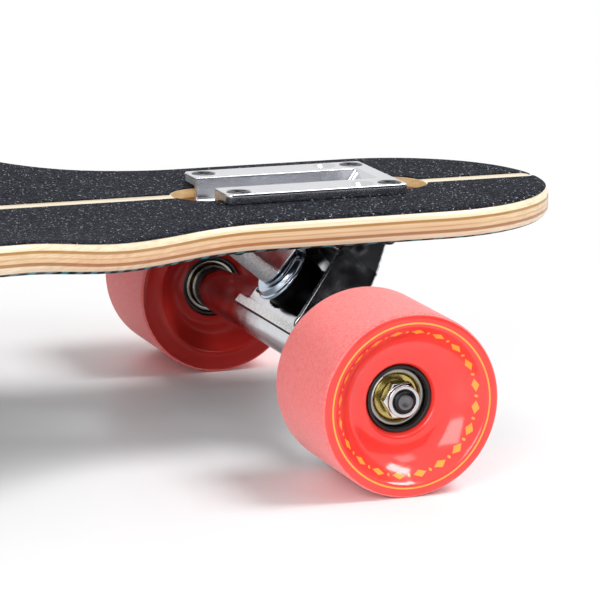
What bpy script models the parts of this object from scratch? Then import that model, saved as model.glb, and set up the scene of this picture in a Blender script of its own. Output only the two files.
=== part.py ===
# Drop-through longboard: a laminated deck on two reverse-kingpin trucks with four wheels.
#
# Units are metres. X runs along the board towards the nose, Y to the rider's left, Z up.
# The origin is on the ground, under the middle of the deck. The rear truck is the front
# truck turned half round, so each truck piece is modelled once, in the front truck's frame:
# its origin is on the ground under the axle, and +X points at the nearer end of the deck.

import math

import bmesh
import bpy
from mathutils import Matrix, Vector

# Fits
MESH_GAP = 0.0003            # between two pieces that touch
HOLE_CLEARANCE = 0.0003      # on the radius, between a screw or shaft and its hole
MERGE_DISTANCE = 0.00001

# Deck
DECK_LENGTH = 1.029
WHEELBASE = 0.812            # axle to axle
DECK_TOP_Z = 0.0930
DECK_THICKNESS = 0.0116
DECK_EDGE_RADIUS = 0.0038
WIDE_HALF_WIDTH = 0.1205
WAIST_DROP = 0.0050          # how much narrower each side is at mid length
DECK_NECK_HALF_WIDTH = 0.0580  # between the wheels
NOSE_ROUND_LENGTH = 0.0640   # length of the half ellipse that ends the deck
DECK_NECK_START = 0.038      # from the axle towards the middle of the board
FLARE_END = 0.162            # from the axle, where the deck has its full width
CONCAVE_RADIUS = 0.560
CONCAVE_START = 0.062        # from the axle, where the flat mounting area ends
CONCAVE_END = 0.155          # from the axle, where the concave is at its full depth
MID_ROWS = 6
FLARE_ROWS = 8
DECK_NECK_ROWS = 2
NOSE_ROWS = 8
TOP_COLUMNS = 2              # across each half of the top
BOTTOM_COLUMNS = 2

# Truck cutout in the deck, measured from the axle
CUTOUT_INNER = -0.0510
CUTOUT_OUTER = 0.0585
CUTOUT_HALF_WIDTH = 0.0145

# Grip tape
STRIPE_HALF_WIDTH = 0.0040   # bare wood between the two halves
GRIP_THICKNESS = 0.0006

# Wheels and bearings
WHEEL_RADIUS = 0.0350
WHEEL_INNER_Y = 0.0790       # inner face, from the middle of the board
WHEEL_WIDTH = 0.0508
WHEEL_LIP_RADIUS = 0.0016
WHEEL_RIM_WIDTH = 0.0045     # flat ring on the outer face
WHEEL_INNER_RIM_WIDTH = 0.0095
HUB_WALL = 0.0015            # black core around the bearings
HUB_SHOULDER = 0.0030        # height of the core's rib between the bearings
BEARING_RADIUS = 0.0110
BEARING_BORE_RADIUS = 0.0043
BEARING_WIDTH = 0.0070
BEARING_SPACING = 0.0100     # clear distance between the two bearings of a wheel
BEARING_RECESS = 0.0006      # shield below the rings
BEARING_RING_WALL = 0.0016
SPEED_RING_RADIUS = 0.0062
SPEED_RING_WIDTH = 0.0009

# Axle and its nuts
AXLE_RADIUS = 0.0040
AXLE_LENGTH = 0.2476
AXLE_CHAMFER = 0.0007
HANGER_WIDTH = 0.1800
AXLE_NUT_FLATS = 0.0127
AXLE_NUT_HEIGHT = 0.0062
NUT_CHAMFER = 0.0006

# Truck angles and stack. Along the kingpin, heights are measured from the line that
# joins the axle and the pivot: positive towards the deck, negative towards the road.
BASEPLATE_ANGLE = math.radians(50.0)
KINGPIN_FROM_AXLE = 0.0171
KINGPIN_RADIUS = 0.00476
KINGPIN_HEAD_RADIUS = 0.0064
KINGPIN_HEAD_HEIGHT = 0.0050
KINGPIN_HEAD_SEAT = 0.0420
KINGPIN_SOCKET_RADIUS = 0.0036
KINGPIN_SOCKET_DEPTH = 0.0030
BOSS_SEAT = 0.0212
CUP_WASHER_RADIUS = 0.0130
CUP_WASHER_THICKNESS = 0.0020
CUP_RIM_DEPTH = 0.0024
CUP_RIM_WALL = 0.0012
CUP_SHOULDER = 0.0018        # how far the washer's upper edge is drawn in
RING_HALF_THICKNESS = 0.0045
RING_HOLE_RADIUS = 0.0070
BOARD_BUSHING_RADIUS = 0.0112
BUSHING_BULGE = 0.0007
ROAD_BUSHING_HEIGHT = 0.0126
ROAD_BUSHING_RADIUS = 0.0116
ROAD_BUSHING_END_RADIUS = 0.0094
ROAD_WASHER_RADIUS = 0.0105
ROAD_WASHER_THICKNESS = 0.0018
KINGPIN_NUT_FLATS = 0.0143
KINGPIN_NUT_HEIGHT = 0.0082
KINGPIN_TIP = 0.0025         # thread that stands out past the nut

# Hanger. Distances along the pivot line start at the axle.
TUBE_RADIUS = 0.0091
RIB_START = -0.0016
RIB_WIDTH = 0.0039
RIB_HEIGHT = 0.0019          # above the tube
RIB_HALF_LENGTH = 0.0360
YOKE_FRONT = 0.0028          # front face, just behind the rib
YOKE_FRONT_FOOT = 0.0080     # height at which the front face leaves the tube
YOKE_HALF_WIDTH = 0.0260     # at the front
YOKE_SHOULDER = 0.0390       # where the side walls end
YOKE_SHOULDER_HALF_WIDTH = 0.0180
YOKE_TOP = 0.0114
YOKE_BOTTOM = -0.0096
YOKE_BOTTOM_END = 0.0320     # where the underside starts to rise
YOKE_WALL = 0.0021
LIP_WIDTH = 0.0033           # front wall of the tray
HANGER_NECK_HALF_WIDTH = 0.0102
HANGER_NECK_HALF_HEIGHT = 0.0064
WING_HALF_LENGTH = 0.0700
WING_ROOT = 0.0148           # how far the wing reaches from the axle, at the yoke
WING_TIP = 0.0088            # and at its outer end
WING_HALF_THICKNESS = 0.0048
SEAT_RADIUS = 0.0127         # cups for the bushings
HANGER_NECK_RADIUS = 0.0108
HANGER_NECK_END = 0.0530
HANGER_NECK_STEP = 0.0030    # length over which the neck narrows to the pivot
PIVOT_RADIUS = 0.0068
PIVOT_TIP = 0.0638
PIVOT_TIP_ROUND = 0.0025

# Pivot cup and its housing
CUP_START = 0.0573
CUP_WALL = 0.0021
CUP_FLOOR = 0.0018
HOUSING_WALL = 0.0022
HOUSING_END = 0.0680
HOUSING_TOP_Z = 0.0880       # housing beyond the flange, kept below the deck's surface
HANGER_NECK_CLEARANCE = 0.0015

# Baseplate, measured from the axle
PLATE_INNER = -0.0350
PLATE_OUTER = 0.0408
PLATE_HALF_WIDTH = 0.0267
PLATE_THICKNESS = 0.0033
PLATE_CORNER = 0.0020
BOSS_RADIUS = 0.0079
BODY_HALF_WIDTH = 0.0132     # body that drops through the cutout
POCKET_HALF_WIDTH = 0.0110
POCKET_OUTER = 0.0340
POCKET_SLOPE_RUN = 0.0066
POCKET_DEPTH = 0.0095

# Deck screws, measured from the axle
SCREW_INNER_X = -0.0285
SCREW_SPACING_X = 0.0635
SCREW_SPACING_Y = 0.0413
SPARE_HOLE_FROM_INNER = 0.0520
SPARE_HOLE_RADIUS = 0.0033
SCREW_RADIUS = 0.0024
SCREW_HEAD_RADIUS = 0.0048
SCREW_LENGTH = 0.0250
LOCK_NUT_FLATS = 0.0095
LOCK_NUT_HEIGHT = 0.0056

# Facets round a full turn
WHEEL_STEPS = 32
TUBE_STEPS = 20
SMALL_STEPS = 16
SCREW_STEPS = 12

# Sizes that follow from the ones above
AXLE_Z = WHEEL_RADIUS
GRIP_BOTTOM_Z = DECK_TOP_Z + MESH_GAP
GRIP_TOP_Z = GRIP_BOTTOM_Z + GRIP_THICKNESS
PLATE_BOTTOM_Z = GRIP_TOP_Z + MESH_GAP
PLATE_TOP_Z = PLATE_BOTTOM_Z + PLATE_THICKNESS
DECK_BOTTOM_Z = DECK_TOP_Z - DECK_THICKNESS
RING_CENTRE = KINGPIN_FROM_AXLE
SCREW_XS = (SCREW_INNER_X, SCREW_INNER_X + SCREW_SPACING_X)
SCREW_YS = (-SCREW_SPACING_Y / 2, SCREW_SPACING_Y / 2)
INNER_BEARING_Y = HANGER_WIDTH / 2 + SPEED_RING_WIDTH + MESH_GAP / 2
OUTER_BEARING_Y = INNER_BEARING_Y + BEARING_WIDTH + BEARING_SPACING
WHEEL_OUTER_Y = WHEEL_INNER_Y + WHEEL_WIDTH
HUB_BORE_RADIUS = BEARING_RADIUS + MESH_GAP
HUB_RADIUS = HUB_BORE_RADIUS + HUB_WALL
CUP_INNER_RADIUS = PIVOT_RADIUS + MESH_GAP
CUP_OUTER_RADIUS = CUP_INNER_RADIUS + CUP_WALL
CUP_FLOOR_START = PIVOT_TIP + MESH_GAP
CUP_END = CUP_FLOOR_START + CUP_FLOOR
HOUSING_RADIUS = CUP_OUTER_RADIUS + MESH_GAP + HOUSING_WALL
CUP_WASHER_TOP = BOSS_SEAT - MESH_GAP
CUP_WASHER_FLOOR = CUP_WASHER_TOP - CUP_WASHER_THICKNESS
BOARD_BUSHING_TOP = CUP_WASHER_FLOOR - MESH_GAP
BOARD_BUSHING_BOTTOM = RING_HALF_THICKNESS + MESH_GAP
ROAD_BUSHING_TOP = -RING_HALF_THICKNESS - MESH_GAP
ROAD_BUSHING_BOTTOM = ROAD_BUSHING_TOP - ROAD_BUSHING_HEIGHT
ROAD_WASHER_TOP = ROAD_BUSHING_BOTTOM - MESH_GAP
ROAD_WASHER_BOTTOM = ROAD_WASHER_TOP - ROAD_WASHER_THICKNESS
KINGPIN_NUT_TOP = ROAD_WASHER_BOTTOM - MESH_GAP
KINGPIN_NUT_BOTTOM = KINGPIN_NUT_TOP - KINGPIN_NUT_HEIGHT
KINGPIN_END = KINGPIN_NUT_BOTTOM - KINGPIN_TIP
KINGPIN_HOLE_RADIUS = KINGPIN_RADIUS + HOLE_CLEARANCE

# The pivot frame: x along the pivot line, away from the axle and up; y across the board;
# z along the kingpin, towards the deck.
PIVOT_FRAME = Matrix.Translation((0, 0, AXLE_Z)) @ Matrix.Rotation(-BASEPLATE_ANGLE, 4, "Y")


# Mesh tools

def empty_scene():
    """Take away what the scene holds, so that only the board is left."""
    for thing in list(bpy.data.objects):
        bpy.data.objects.remove(thing, do_unlink=True)


def new_object(name, bm):
    """Turn a bmesh into a smooth-shaded object with its faces pointing out."""
    bmesh.ops.recalc_face_normals(bm, faces=bm.faces)
    mesh = bpy.data.meshes.new(name)
    bm.to_mesh(mesh)
    bm.free()
    mesh.shade_smooth()
    mesh.set_sharp_from_angle(angle=math.radians(35))
    thing = bpy.data.objects.new(name, mesh)
    bpy.context.scene.collection.objects.link(thing)
    return thing


def box(x_range, y_range, z_range):
    bm = bmesh.new()
    bmesh.ops.create_cube(bm, size=1.0)
    size = Vector((x_range[1] - x_range[0], y_range[1] - y_range[0], z_range[1] - z_range[0]))
    middle = Vector((sum(x_range), sum(y_range), sum(z_range))) / 2
    bmesh.ops.scale(bm, vec=size, verts=bm.verts)
    bmesh.ops.translate(bm, vec=middle, verts=bm.verts)
    return new_object("box", bm)


def prism(corners, vector):
    """Extrude a flat outline, given as 3-D corners, along a vector."""
    bm = bmesh.new()
    face = bm.faces.new([bm.verts.new(corner) for corner in corners])
    grown = bmesh.ops.extrude_face_region(bm, geom=[face])
    moved = [item for item in grown["geom"] if isinstance(item, bmesh.types.BMVert)]
    bmesh.ops.translate(bm, vec=vector, verts=moved)
    return new_object("prism", bm)


def turned(outline, steps, closed=False):
    """Spin an outline of (radius, z) points about Z. A closed one makes a ring."""
    bm = bmesh.new()
    points = [bm.verts.new((radius, 0, z)) for radius, z in outline]
    edges = [bm.edges.new(pair) for pair in zip(points, points[1:])]
    if closed:
        edges.append(bm.edges.new((points[-1], points[0])))
    bmesh.ops.spin(bm, geom=points + edges, axis=(0, 0, 1), cent=(0, 0, 0),
                   angle=math.tau, steps=steps, use_merge=True)
    bmesh.ops.remove_doubles(bm, verts=bm.verts, dist=1e-6)
    return new_object("turned", bm)


def cylinder(radius, z_range, steps):
    low, high = z_range
    return turned([(0, low), (radius, low), (radius, high), (0, high)], steps)


def washer(inner_radius, outer_radius, z_range, steps):
    low, high = z_range
    outline = [(inner_radius, low), (outer_radius, low), (outer_radius, high), (inner_radius, high)]
    return turned(outline, steps, closed=True)


def nut(flats, z_range, chamfer):
    """Solid hexagon with its ends drawn in. Its bore is cut later."""
    low, high = z_range
    corner = flats / 2 / math.cos(math.pi / 6)
    return turned([(0, low), (corner - chamfer, low), (corner, low + chamfer),
                   (corner, high - chamfer), (corner - chamfer, high), (0, high)], 6)


def bore_out(thing, radius, steps):
    """Cut a round hole right through a piece that stands on Z."""
    cut(thing, cylinder(radius, (-0.2, 0.2), steps))
    return thing


def combine(thing, tool, operation):
    """Apply a Boolean to a mesh, close up its shortest edges and take the tool away."""
    modifier = thing.modifiers.new(operation, "BOOLEAN")
    modifier.operation = operation
    modifier.solver = "EXACT"
    modifier.object = tool
    graph = bpy.context.evaluated_depsgraph_get()
    result = bpy.data.meshes.new_from_object(thing.evaluated_get(graph))
    thing.modifiers.remove(modifier)
    bm = bmesh.new()
    bm.from_mesh(result)
    bmesh.ops.remove_doubles(bm, verts=bm.verts, dist=MERGE_DISTANCE)
    bm.to_mesh(result)
    bm.free()
    thing.data = result
    bpy.data.objects.remove(tool, do_unlink=True)


def cut(thing, *tools):
    for tool in tools:
        combine(thing, tool, "DIFFERENCE")


def add(thing, *tools):
    for tool in tools:
        combine(thing, tool, "UNION")


def moved(thing, matrix):
    """Move a mesh, so that the object itself stays at the origin."""
    thing.data.transform(matrix)
    return thing


def along_x(thing, at=(0, 0, 0)):
    """Stand a piece that was turned about Z along +X, at a place in the pivot frame."""
    return moved(thing, Matrix.Translation(at) @ Matrix.Rotation(math.pi / 2, 4, "Y"))


def along_y(thing, at=(0, 0, 0)):
    return moved(thing, Matrix.Translation(at) @ Matrix.Rotation(-math.pi / 2, 4, "X"))


# Materials

def material(name, colour, roughness, metallic=0.0):
    made = bpy.data.materials.new(name)
    made.use_nodes = True
    shader = made.node_tree.nodes["Principled BSDF"]
    shader.inputs["Base Color"].default_value = (*colour, 1.0)
    shader.inputs["Roughness"].default_value = roughness
    shader.inputs["Metallic"].default_value = metallic
    made.diffuse_color = (*colour, 1.0)
    return made


def make_materials():
    return {
        "maple": material("maple", (0.72, 0.50, 0.30), 0.45),
        "grip": material("grip", (0.030, 0.031, 0.037), 0.95),
        "polished": material("polished", (0.80, 0.80, 0.82), 0.12, 1.0),
        "steel": material("steel", (0.62, 0.62, 0.63), 0.28, 1.0),
        "zinc": material("zinc", (0.70, 0.75, 0.82), 0.20, 1.0),
        "black_steel": material("black_steel", (0.05, 0.05, 0.055), 0.40, 1.0),
        "black_urethane": material("black_urethane", (0.012, 0.012, 0.013), 0.45),
        "urethane": material("urethane", (0.93, 0.115, 0.095), 0.35),
        "black_nylon": material("black_nylon", (0.010, 0.010, 0.011), 0.40),
        "bearing": material("bearing", (0.66, 0.63, 0.55), 0.30, 1.0),
    }


# Deck

def half_width(x):
    """Half the deck's width at a distance from its middle."""
    distance = abs(x)
    nose_start = DECK_LENGTH / 2 - NOSE_ROUND_LENGTH
    neck_start = WHEELBASE / 2 - DECK_NECK_START
    flare_end = WHEELBASE / 2 - FLARE_END
    if distance > nose_start:
        share = min(1.0, (distance - nose_start) / NOSE_ROUND_LENGTH)
        return DECK_NECK_HALF_WIDTH * math.sqrt(1 - share * share)
    if distance > neck_start:
        return DECK_NECK_HALF_WIDTH
    if distance > flare_end:
        share = (neck_start - distance) / (neck_start - flare_end)
        blend = (1 - math.cos(math.pi * share)) / 2
        return DECK_NECK_HALF_WIDTH + (WIDE_HALF_WIDTH - DECK_NECK_HALF_WIDTH) * blend
    blend = (1 + math.cos(math.pi * distance / flare_end)) / 2
    return WIDE_HALF_WIDTH - WAIST_DROP * blend


def concave(x, y):
    """How far the deck's surface has risen above its middle line."""
    start = WHEELBASE / 2 - CONCAVE_START
    end = WHEELBASE / 2 - CONCAVE_END
    share = min(1.0, max(0.0, (start - abs(x)) / (start - end)))
    blend = share * share * (3 - 2 * share)
    return blend * y * y / (2 * CONCAVE_RADIUS)


def row_places():
    """Distances from the middle at which the deck's outline has a point."""
    nose_start = DECK_LENGTH / 2 - NOSE_ROUND_LENGTH
    neck_start = WHEELBASE / 2 - DECK_NECK_START
    flare_end = WHEELBASE / 2 - FLARE_END
    places = [flare_end * i / MID_ROWS for i in range(MID_ROWS)]
    places += [flare_end + (neck_start - flare_end) * i / FLARE_ROWS for i in range(FLARE_ROWS)]
    places += [neck_start + (nose_start - neck_start) * i / DECK_NECK_ROWS for i in range(DECK_NECK_ROWS)]
    places += [nose_start + NOSE_ROUND_LENGTH * math.sin(math.pi / 2 * i / NOSE_ROWS)
               for i in range(NOSE_ROWS + 1)]
    return places


def outline_points():
    """The left half of the deck's outline, from the tail's tip to the nose's tip."""
    places = row_places()
    places = [-place for place in reversed(places[1:])] + places
    return [Vector((x, half_width(x))) for x in places]


def inset_outline(points, inset):
    """Move the half outline in by a distance, square to its own direction."""
    moved_points = []
    for index, point in enumerate(points):
        if index == 0:
            moved_points.append(point + Vector((inset, 0)))
        elif index == len(points) - 1:
            moved_points.append(point - Vector((inset, 0)))
        else:
            along = (points[index + 1] - points[index - 1]).normalized()
            moved_points.append(point + Vector((along.y, -along.x)) * inset)
    return moved_points


def rounding_level(step, offset=0.0, tilt=0.0):
    """Inset and depth of a level of the rounded edge, of which there are two to a quarter turn.

    An offset lifts the level off the wood, in a direction tilted outwards from straight up.
    """
    angle = math.pi / 4 * step
    inset = DECK_EDGE_RADIUS * (1 - math.sin(angle)) - offset * math.sin(tilt)
    depth = DECK_EDGE_RADIUS * (1 - math.cos(angle)) - offset * math.cos(tilt)
    return inset, depth


def edge_levels():
    """Inset and depth below the top at each level of the deck's edge."""
    levels = [rounding_level(step) for step in range(3)]
    return levels + [(inset, DECK_THICKNESS - depth) for inset, depth in reversed(levels)]


def columns(edge_y, count):
    """Places across one half of the deck, from the bare stripe's edge to the rounding."""
    return [STRIPE_HALF_WIDTH + (edge_y - STRIPE_HALF_WIDTH) * i / count for i in range(count + 1)]


def deck_ring(bm, points, depth):
    """One closed loop of vertices round the deck. The first is the tail's tip."""
    left = [bm.verts.new((p.x, p.y, DECK_TOP_Z + concave(p.x, p.y) - depth)) for p in points]
    right = [bm.verts.new((p.x, -p.y, DECK_TOP_Z + concave(p.x, p.y) - depth))
             for p in points[1:-1]]
    return left, right


def skin(bm, rows):
    """Faces between rows of vertices that run outwards, each split the same way."""
    for first, second in zip(rows, rows[1:]):
        for a, b, c, d in zip(first, first[1:], second[1:], second):
            bm.faces.new((a, b, c))
            bm.faces.new((a, c, d))


def deck_cap(bm, points, left, right, depth, count):
    """Fill the loop with rows of faces that follow the concave."""
    halves = {1: [], -1: []}
    for index in range(1, len(points) - 1):
        point = points[index]
        for side, rim in ((1, left[index]), (-1, right[index - 1])):
            row = [bm.verts.new((point.x, side * y, DECK_TOP_Z + concave(point.x, y) - depth))
                   for y in columns(point.y, count)[:-1]]
            halves[side].append(row + [rim])
    skin(bm, halves[1])
    skin(bm, halves[-1])
    skin(bm, [[a[0], b[0]] for a, b in zip(halves[1], halves[-1])])
    for tip, end in ((left[0], 0), (left[-1], -1)):
        row = halves[1][end][::-1] + halves[-1][end]
        for a, b in zip(row, row[1:]):
            bm.faces.new((tip, a, b))


def make_deck():
    bm = bmesh.new()
    outline = outline_points()
    rings = []
    for inset, depth in edge_levels():
        rings.append(deck_ring(bm, inset_outline(outline, inset), depth))
    for (left_a, right_a), (left_b, right_b) in zip(rings, rings[1:]):
        loop_a = left_a + right_a[::-1]
        loop_b = left_b + right_b[::-1]
        for i in range(len(loop_a)):
            j = (i + 1) % len(loop_a)
            bm.faces.new((loop_a[i], loop_a[j], loop_b[j], loop_b[i]))
    inner = inset_outline(outline, DECK_EDGE_RADIUS)
    deck_cap(bm, inner, *rings[0], 0.0, TOP_COLUMNS)
    deck_cap(bm, inner, *rings[-1], DECK_THICKNESS, BOTTOM_COLUMNS)
    deck = new_object("deck", bm)
    for turn in (0, math.pi):
        place = truck_place(turn)
        cut(deck, moved(cutout_slot(), place))
        for x in SCREW_XS:
            for y in SCREW_YS:
                cut(deck, moved(screw_hole(x, y), place))
    return deck


def truck_place(turn):
    """From a truck's own frame to the board's: no turn for the front, half a turn for the rear."""
    return Matrix.Rotation(turn, 4, "Z") @ Matrix.Translation((WHEELBASE / 2, 0, 0))


def cutout_slot():
    """The long round-ended hole that the truck drops through."""
    corners = []
    radius = CUTOUT_HALF_WIDTH
    for centre_x, start in ((CUTOUT_OUTER - radius, -math.pi / 2), (CUTOUT_INNER + radius, math.pi / 2)):
        for step in range(9):
            angle = start + math.pi * step / 8
            corners.append((centre_x + radius * math.cos(angle), radius * math.sin(angle),
                            DECK_BOTTOM_Z - 0.02))
    return prism(corners, Vector((0, 0, 0.06)))


def screw_hole(x, y, radius=SCREW_RADIUS + HOLE_CLEARANCE):
    tool = cylinder(radius, (DECK_BOTTOM_Z - 0.02, PLATE_TOP_Z + 0.02), SCREW_STEPS)
    return moved(tool, Matrix.Translation((x, y, 0)))


def make_grip(side):
    """One half of the grip tape, from the bare stripe to half way round the deck's edge."""
    bm = bmesh.new()
    outline = outline_points()
    flat = inset_outline(outline, DECK_EDGE_RADIUS)[1:-1]
    bend = math.pi / 16
    sheets = []
    for offset in (MESH_GAP, MESH_GAP + GRIP_THICKNESS):
        bend_inset, bend_depth = rounding_level(0, offset / math.cos(bend), bend)
        rim_inset, rim_depth = rounding_level(1, offset, bend * 2)
        bends = inset_outline(outline, bend_inset)[1:-1]
        rims = inset_outline(outline, rim_inset)[1:-1]
        rows = []
        for point, bent, rim in zip(flat, bends, rims):
            row = [(point.x, y, concave(point.x, y) + offset)
                   for y in columns(point.y, TOP_COLUMNS)[:-1]]
            row.append((bent.x, bent.y, concave(bent.x, bent.y) - bend_depth))
            row.append((rim.x, rim.y, concave(rim.x, rim.y) - rim_depth))
            rows.append([bm.verts.new((x, side * y, DECK_TOP_Z + rise)) for x, y, rise in row])
        skin(bm, rows)
        sheets.append(rows)
    low, high = sheets
    rims = [([row[0] for row in low], [row[0] for row in high]),
            ([row[-1] for row in low], [row[-1] for row in high]),
            (low[0], high[0]), (low[-1], high[-1])]
    for under, over in rims:
        for a, b, c, d in zip(under, under[1:], over[1:], over):
            bm.faces.new((a, b, c, d))
    grip = new_object("grip", bm)
    for turn in (0, math.pi):
        place = truck_place(turn)
        world_side = side if turn == 0 else -side
        cut(grip, moved(cutout_slot(), place))
        for x in SCREW_XS:
            cut(grip, moved(screw_hole(x, world_side * SCREW_SPACING_Y / 2), place))
    return grip


# Truck pieces. Each maker returns a mesh in the truck's frame or in the pivot frame.

def d_section(low, high):
    """Boss round the kingpin: round below, flat on both sides, reaching up to the deck."""
    corners = []
    for step in range(9):
        angle = math.pi / 2 + math.pi * step / 8
        corners.append((KINGPIN_FROM_AXLE + BOSS_RADIUS * math.cos(angle),
                        BOSS_RADIUS * math.sin(angle), low))
    far_end = KINGPIN_FROM_AXLE + 0.060
    corners.append((far_end, -BOSS_RADIUS, low))
    corners.append((far_end, BOSS_RADIUS, low))
    return prism(corners, Vector((0, 0, high - low)))


def make_baseplate():
    outline = [(BODY_HALF_WIDTH, PLATE_BOTTOM_Z), (PLATE_HALF_WIDTH, PLATE_BOTTOM_Z),
               (PLATE_HALF_WIDTH, PLATE_TOP_Z), (-PLATE_HALF_WIDTH, PLATE_TOP_Z),
               (-PLATE_HALF_WIDTH, PLATE_BOTTOM_Z), (-BODY_HALF_WIDTH, PLATE_BOTTOM_Z),
               (-BODY_HALF_WIDTH, DECK_BOTTOM_Z), (BODY_HALF_WIDTH, DECK_BOTTOM_Z)]
    flange = prism([(PLATE_INNER, y, z) for y, z in outline],
                   Vector((PLATE_OUTER - PLATE_INNER, 0, 0)))
    rounded_corners(flange)
    boss = moved(d_section(BOSS_SEAT, BOSS_SEAT + 0.060), PIVOT_FRAME)
    room = box((PLATE_INNER + 0.0005, PLATE_OUTER - 0.002), (-0.02, 0.02),
               (0.04, PLATE_BOTTOM_Z + 0.0005))
    combine(boss, room, "INTERSECT")
    housing = along_x(cylinder(HOUSING_RADIUS, (CUP_START - 0.006, HOUSING_END), TUBE_STEPS))
    housing = moved(housing, PIVOT_FRAME)
    cut(housing, box((PLATE_OUTER - 0.002, 0.08), (-0.02, 0.02), (HOUSING_TOP_Z, 0.12)))
    cut(housing, box((0.0, 0.08), (-0.02, 0.02), (PLATE_TOP_Z - 0.0005, 0.12)))
    add(flange, boss, housing)
    neck = HANGER_NECK_RADIUS + HANGER_NECK_CLEARANCE
    cup = CUP_OUTER_RADIUS + MESH_GAP
    pivot_room = turned([(0, YOKE_SHOULDER), (neck, YOKE_SHOULDER), (neck, CUP_START - MESH_GAP),
                         (cup, CUP_START - MESH_GAP), (cup, CUP_END + MESH_GAP),
                         (0, CUP_END + MESH_GAP)], TUBE_STEPS)
    cut(flange, moved(along_x(pivot_room), PIVOT_FRAME))
    cut(flange, pocket())
    at_kingpin = Matrix.Translation((KINGPIN_FROM_AXLE, 0, 0))
    head_room = cylinder(KINGPIN_HEAD_RADIUS + HOLE_CLEARANCE, (KINGPIN_HEAD_SEAT, 0.100), SMALL_STEPS)
    cut(flange, moved(head_room, PIVOT_FRAME @ at_kingpin))
    bore = cylinder(KINGPIN_HOLE_RADIUS, (BOSS_SEAT - 0.010, KINGPIN_HEAD_SEAT + 0.005), SMALL_STEPS)
    cut(flange, moved(bore, PIVOT_FRAME @ at_kingpin))
    for y in SCREW_YS:
        for x in SCREW_XS:
            cut(flange, countersink(x, y))
        cut(flange, screw_hole(SCREW_INNER_X + SPARE_HOLE_FROM_INNER, y, SPARE_HOLE_RADIUS))
    return flange


def rounded_corners(flange):
    """Round the flange's upright corners with a bevel."""
    bm = bmesh.new()
    bm.from_mesh(flange.data)
    upright = [edge for edge in bm.edges
               if abs(edge.verts[0].co.z - edge.verts[1].co.z) > PLATE_THICKNESS / 2
               and abs(edge.verts[0].co.y) > BODY_HALF_WIDTH + PLATE_CORNER]
    bmesh.ops.bevel(bm, geom=upright, offset=PLATE_CORNER, segments=2, affect="EDGES", profile=0.5)
    bm.to_mesh(flange.data)
    bm.free()


def pocket():
    """Trough in the top of the baseplate: open inwards, with a sloping outer end."""
    floor_z = PLATE_TOP_Z - POCKET_DEPTH
    slope = POCKET_SLOPE_RUN / POCKET_DEPTH
    above = 0.004
    side = -POCKET_HALF_WIDTH
    corners = [(PLATE_INNER - 0.002, side, floor_z),
               (POCKET_OUTER - POCKET_SLOPE_RUN, side, floor_z),
               (POCKET_OUTER + slope * above, side, PLATE_TOP_Z + above),
               (PLATE_INNER - 0.002, side, PLATE_TOP_Z + above)]
    return prism(corners, Vector((0, 2 * POCKET_HALF_WIDTH, 0)))


def countersink(x, y):
    radius = SCREW_RADIUS + HOLE_CLEARANCE
    head = SCREW_HEAD_RADIUS + HOLE_CLEARANCE
    outline = [(0, PLATE_BOTTOM_Z - 0.02), (radius, PLATE_BOTTOM_Z - 0.02),
               (radius, PLATE_TOP_Z - (head - radius)),
               (head + 0.001, PLATE_TOP_Z + 0.001), (0, PLATE_TOP_Z + 0.001)]
    return moved(turned(outline, SCREW_STEPS), Matrix.Translation((x, y, 0)))


def make_screw():
    """Countersunk deck screw, with its head flush in the flange."""
    top = PLATE_TOP_Z - MESH_GAP / 3
    neck = top - (SCREW_HEAD_RADIUS - SCREW_RADIUS)
    end = top - SCREW_LENGTH
    return turned([(0, end), (SCREW_RADIUS * 0.8, end), (SCREW_RADIUS, end + 0.0005),
                   (SCREW_RADIUS, neck), (SCREW_HEAD_RADIUS, top), (0, top)], SCREW_STEPS)


def make_lock_nut():
    top = DECK_BOTTOM_Z - MESH_GAP
    made = nut(LOCK_NUT_FLATS, (top - LOCK_NUT_HEIGHT, top), NUT_CHAMFER)
    return bore_out(made, SCREW_RADIUS + HOLE_CLEARANCE, SCREW_STEPS)


def make_kingpin():
    seat = KINGPIN_HEAD_SEAT + MESH_GAP
    top = seat + KINGPIN_HEAD_HEIGHT
    chamfer = 0.0008
    pin = turned([(0, KINGPIN_END), (KINGPIN_RADIUS - chamfer, KINGPIN_END),
                  (KINGPIN_RADIUS, KINGPIN_END + chamfer), (KINGPIN_RADIUS, seat),
                  (KINGPIN_HEAD_RADIUS, seat), (KINGPIN_HEAD_RADIUS, top - chamfer),
                  (KINGPIN_HEAD_RADIUS - chamfer, top), (0, top)], SMALL_STEPS)
    socket = [(KINGPIN_SOCKET_RADIUS * math.cos(i * math.pi / 3),
               KINGPIN_SOCKET_RADIUS * math.sin(i * math.pi / 3), top - KINGPIN_SOCKET_DEPTH)
              for i in range(6)]
    cut(pin, prism(socket, Vector((0, 0, KINGPIN_SOCKET_DEPTH + 0.002))))
    return pin


def make_cup_washer():
    """Cup washer: a disc under the boss with a rim that holds the bushing."""
    hole = KINGPIN_HOLE_RADIUS
    outer = CUP_WASHER_RADIUS
    rim_end = CUP_WASHER_FLOOR - CUP_RIM_DEPTH
    outline = [(hole, CUP_WASHER_FLOOR), (outer - CUP_RIM_WALL, CUP_WASHER_FLOOR),
               (outer - CUP_RIM_WALL, rim_end), (outer, rim_end),
               (outer, CUP_WASHER_FLOOR), (outer - CUP_SHOULDER, CUP_WASHER_TOP),
               (hole, CUP_WASHER_TOP)]
    return turned(outline, TUBE_STEPS, closed=True)


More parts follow.
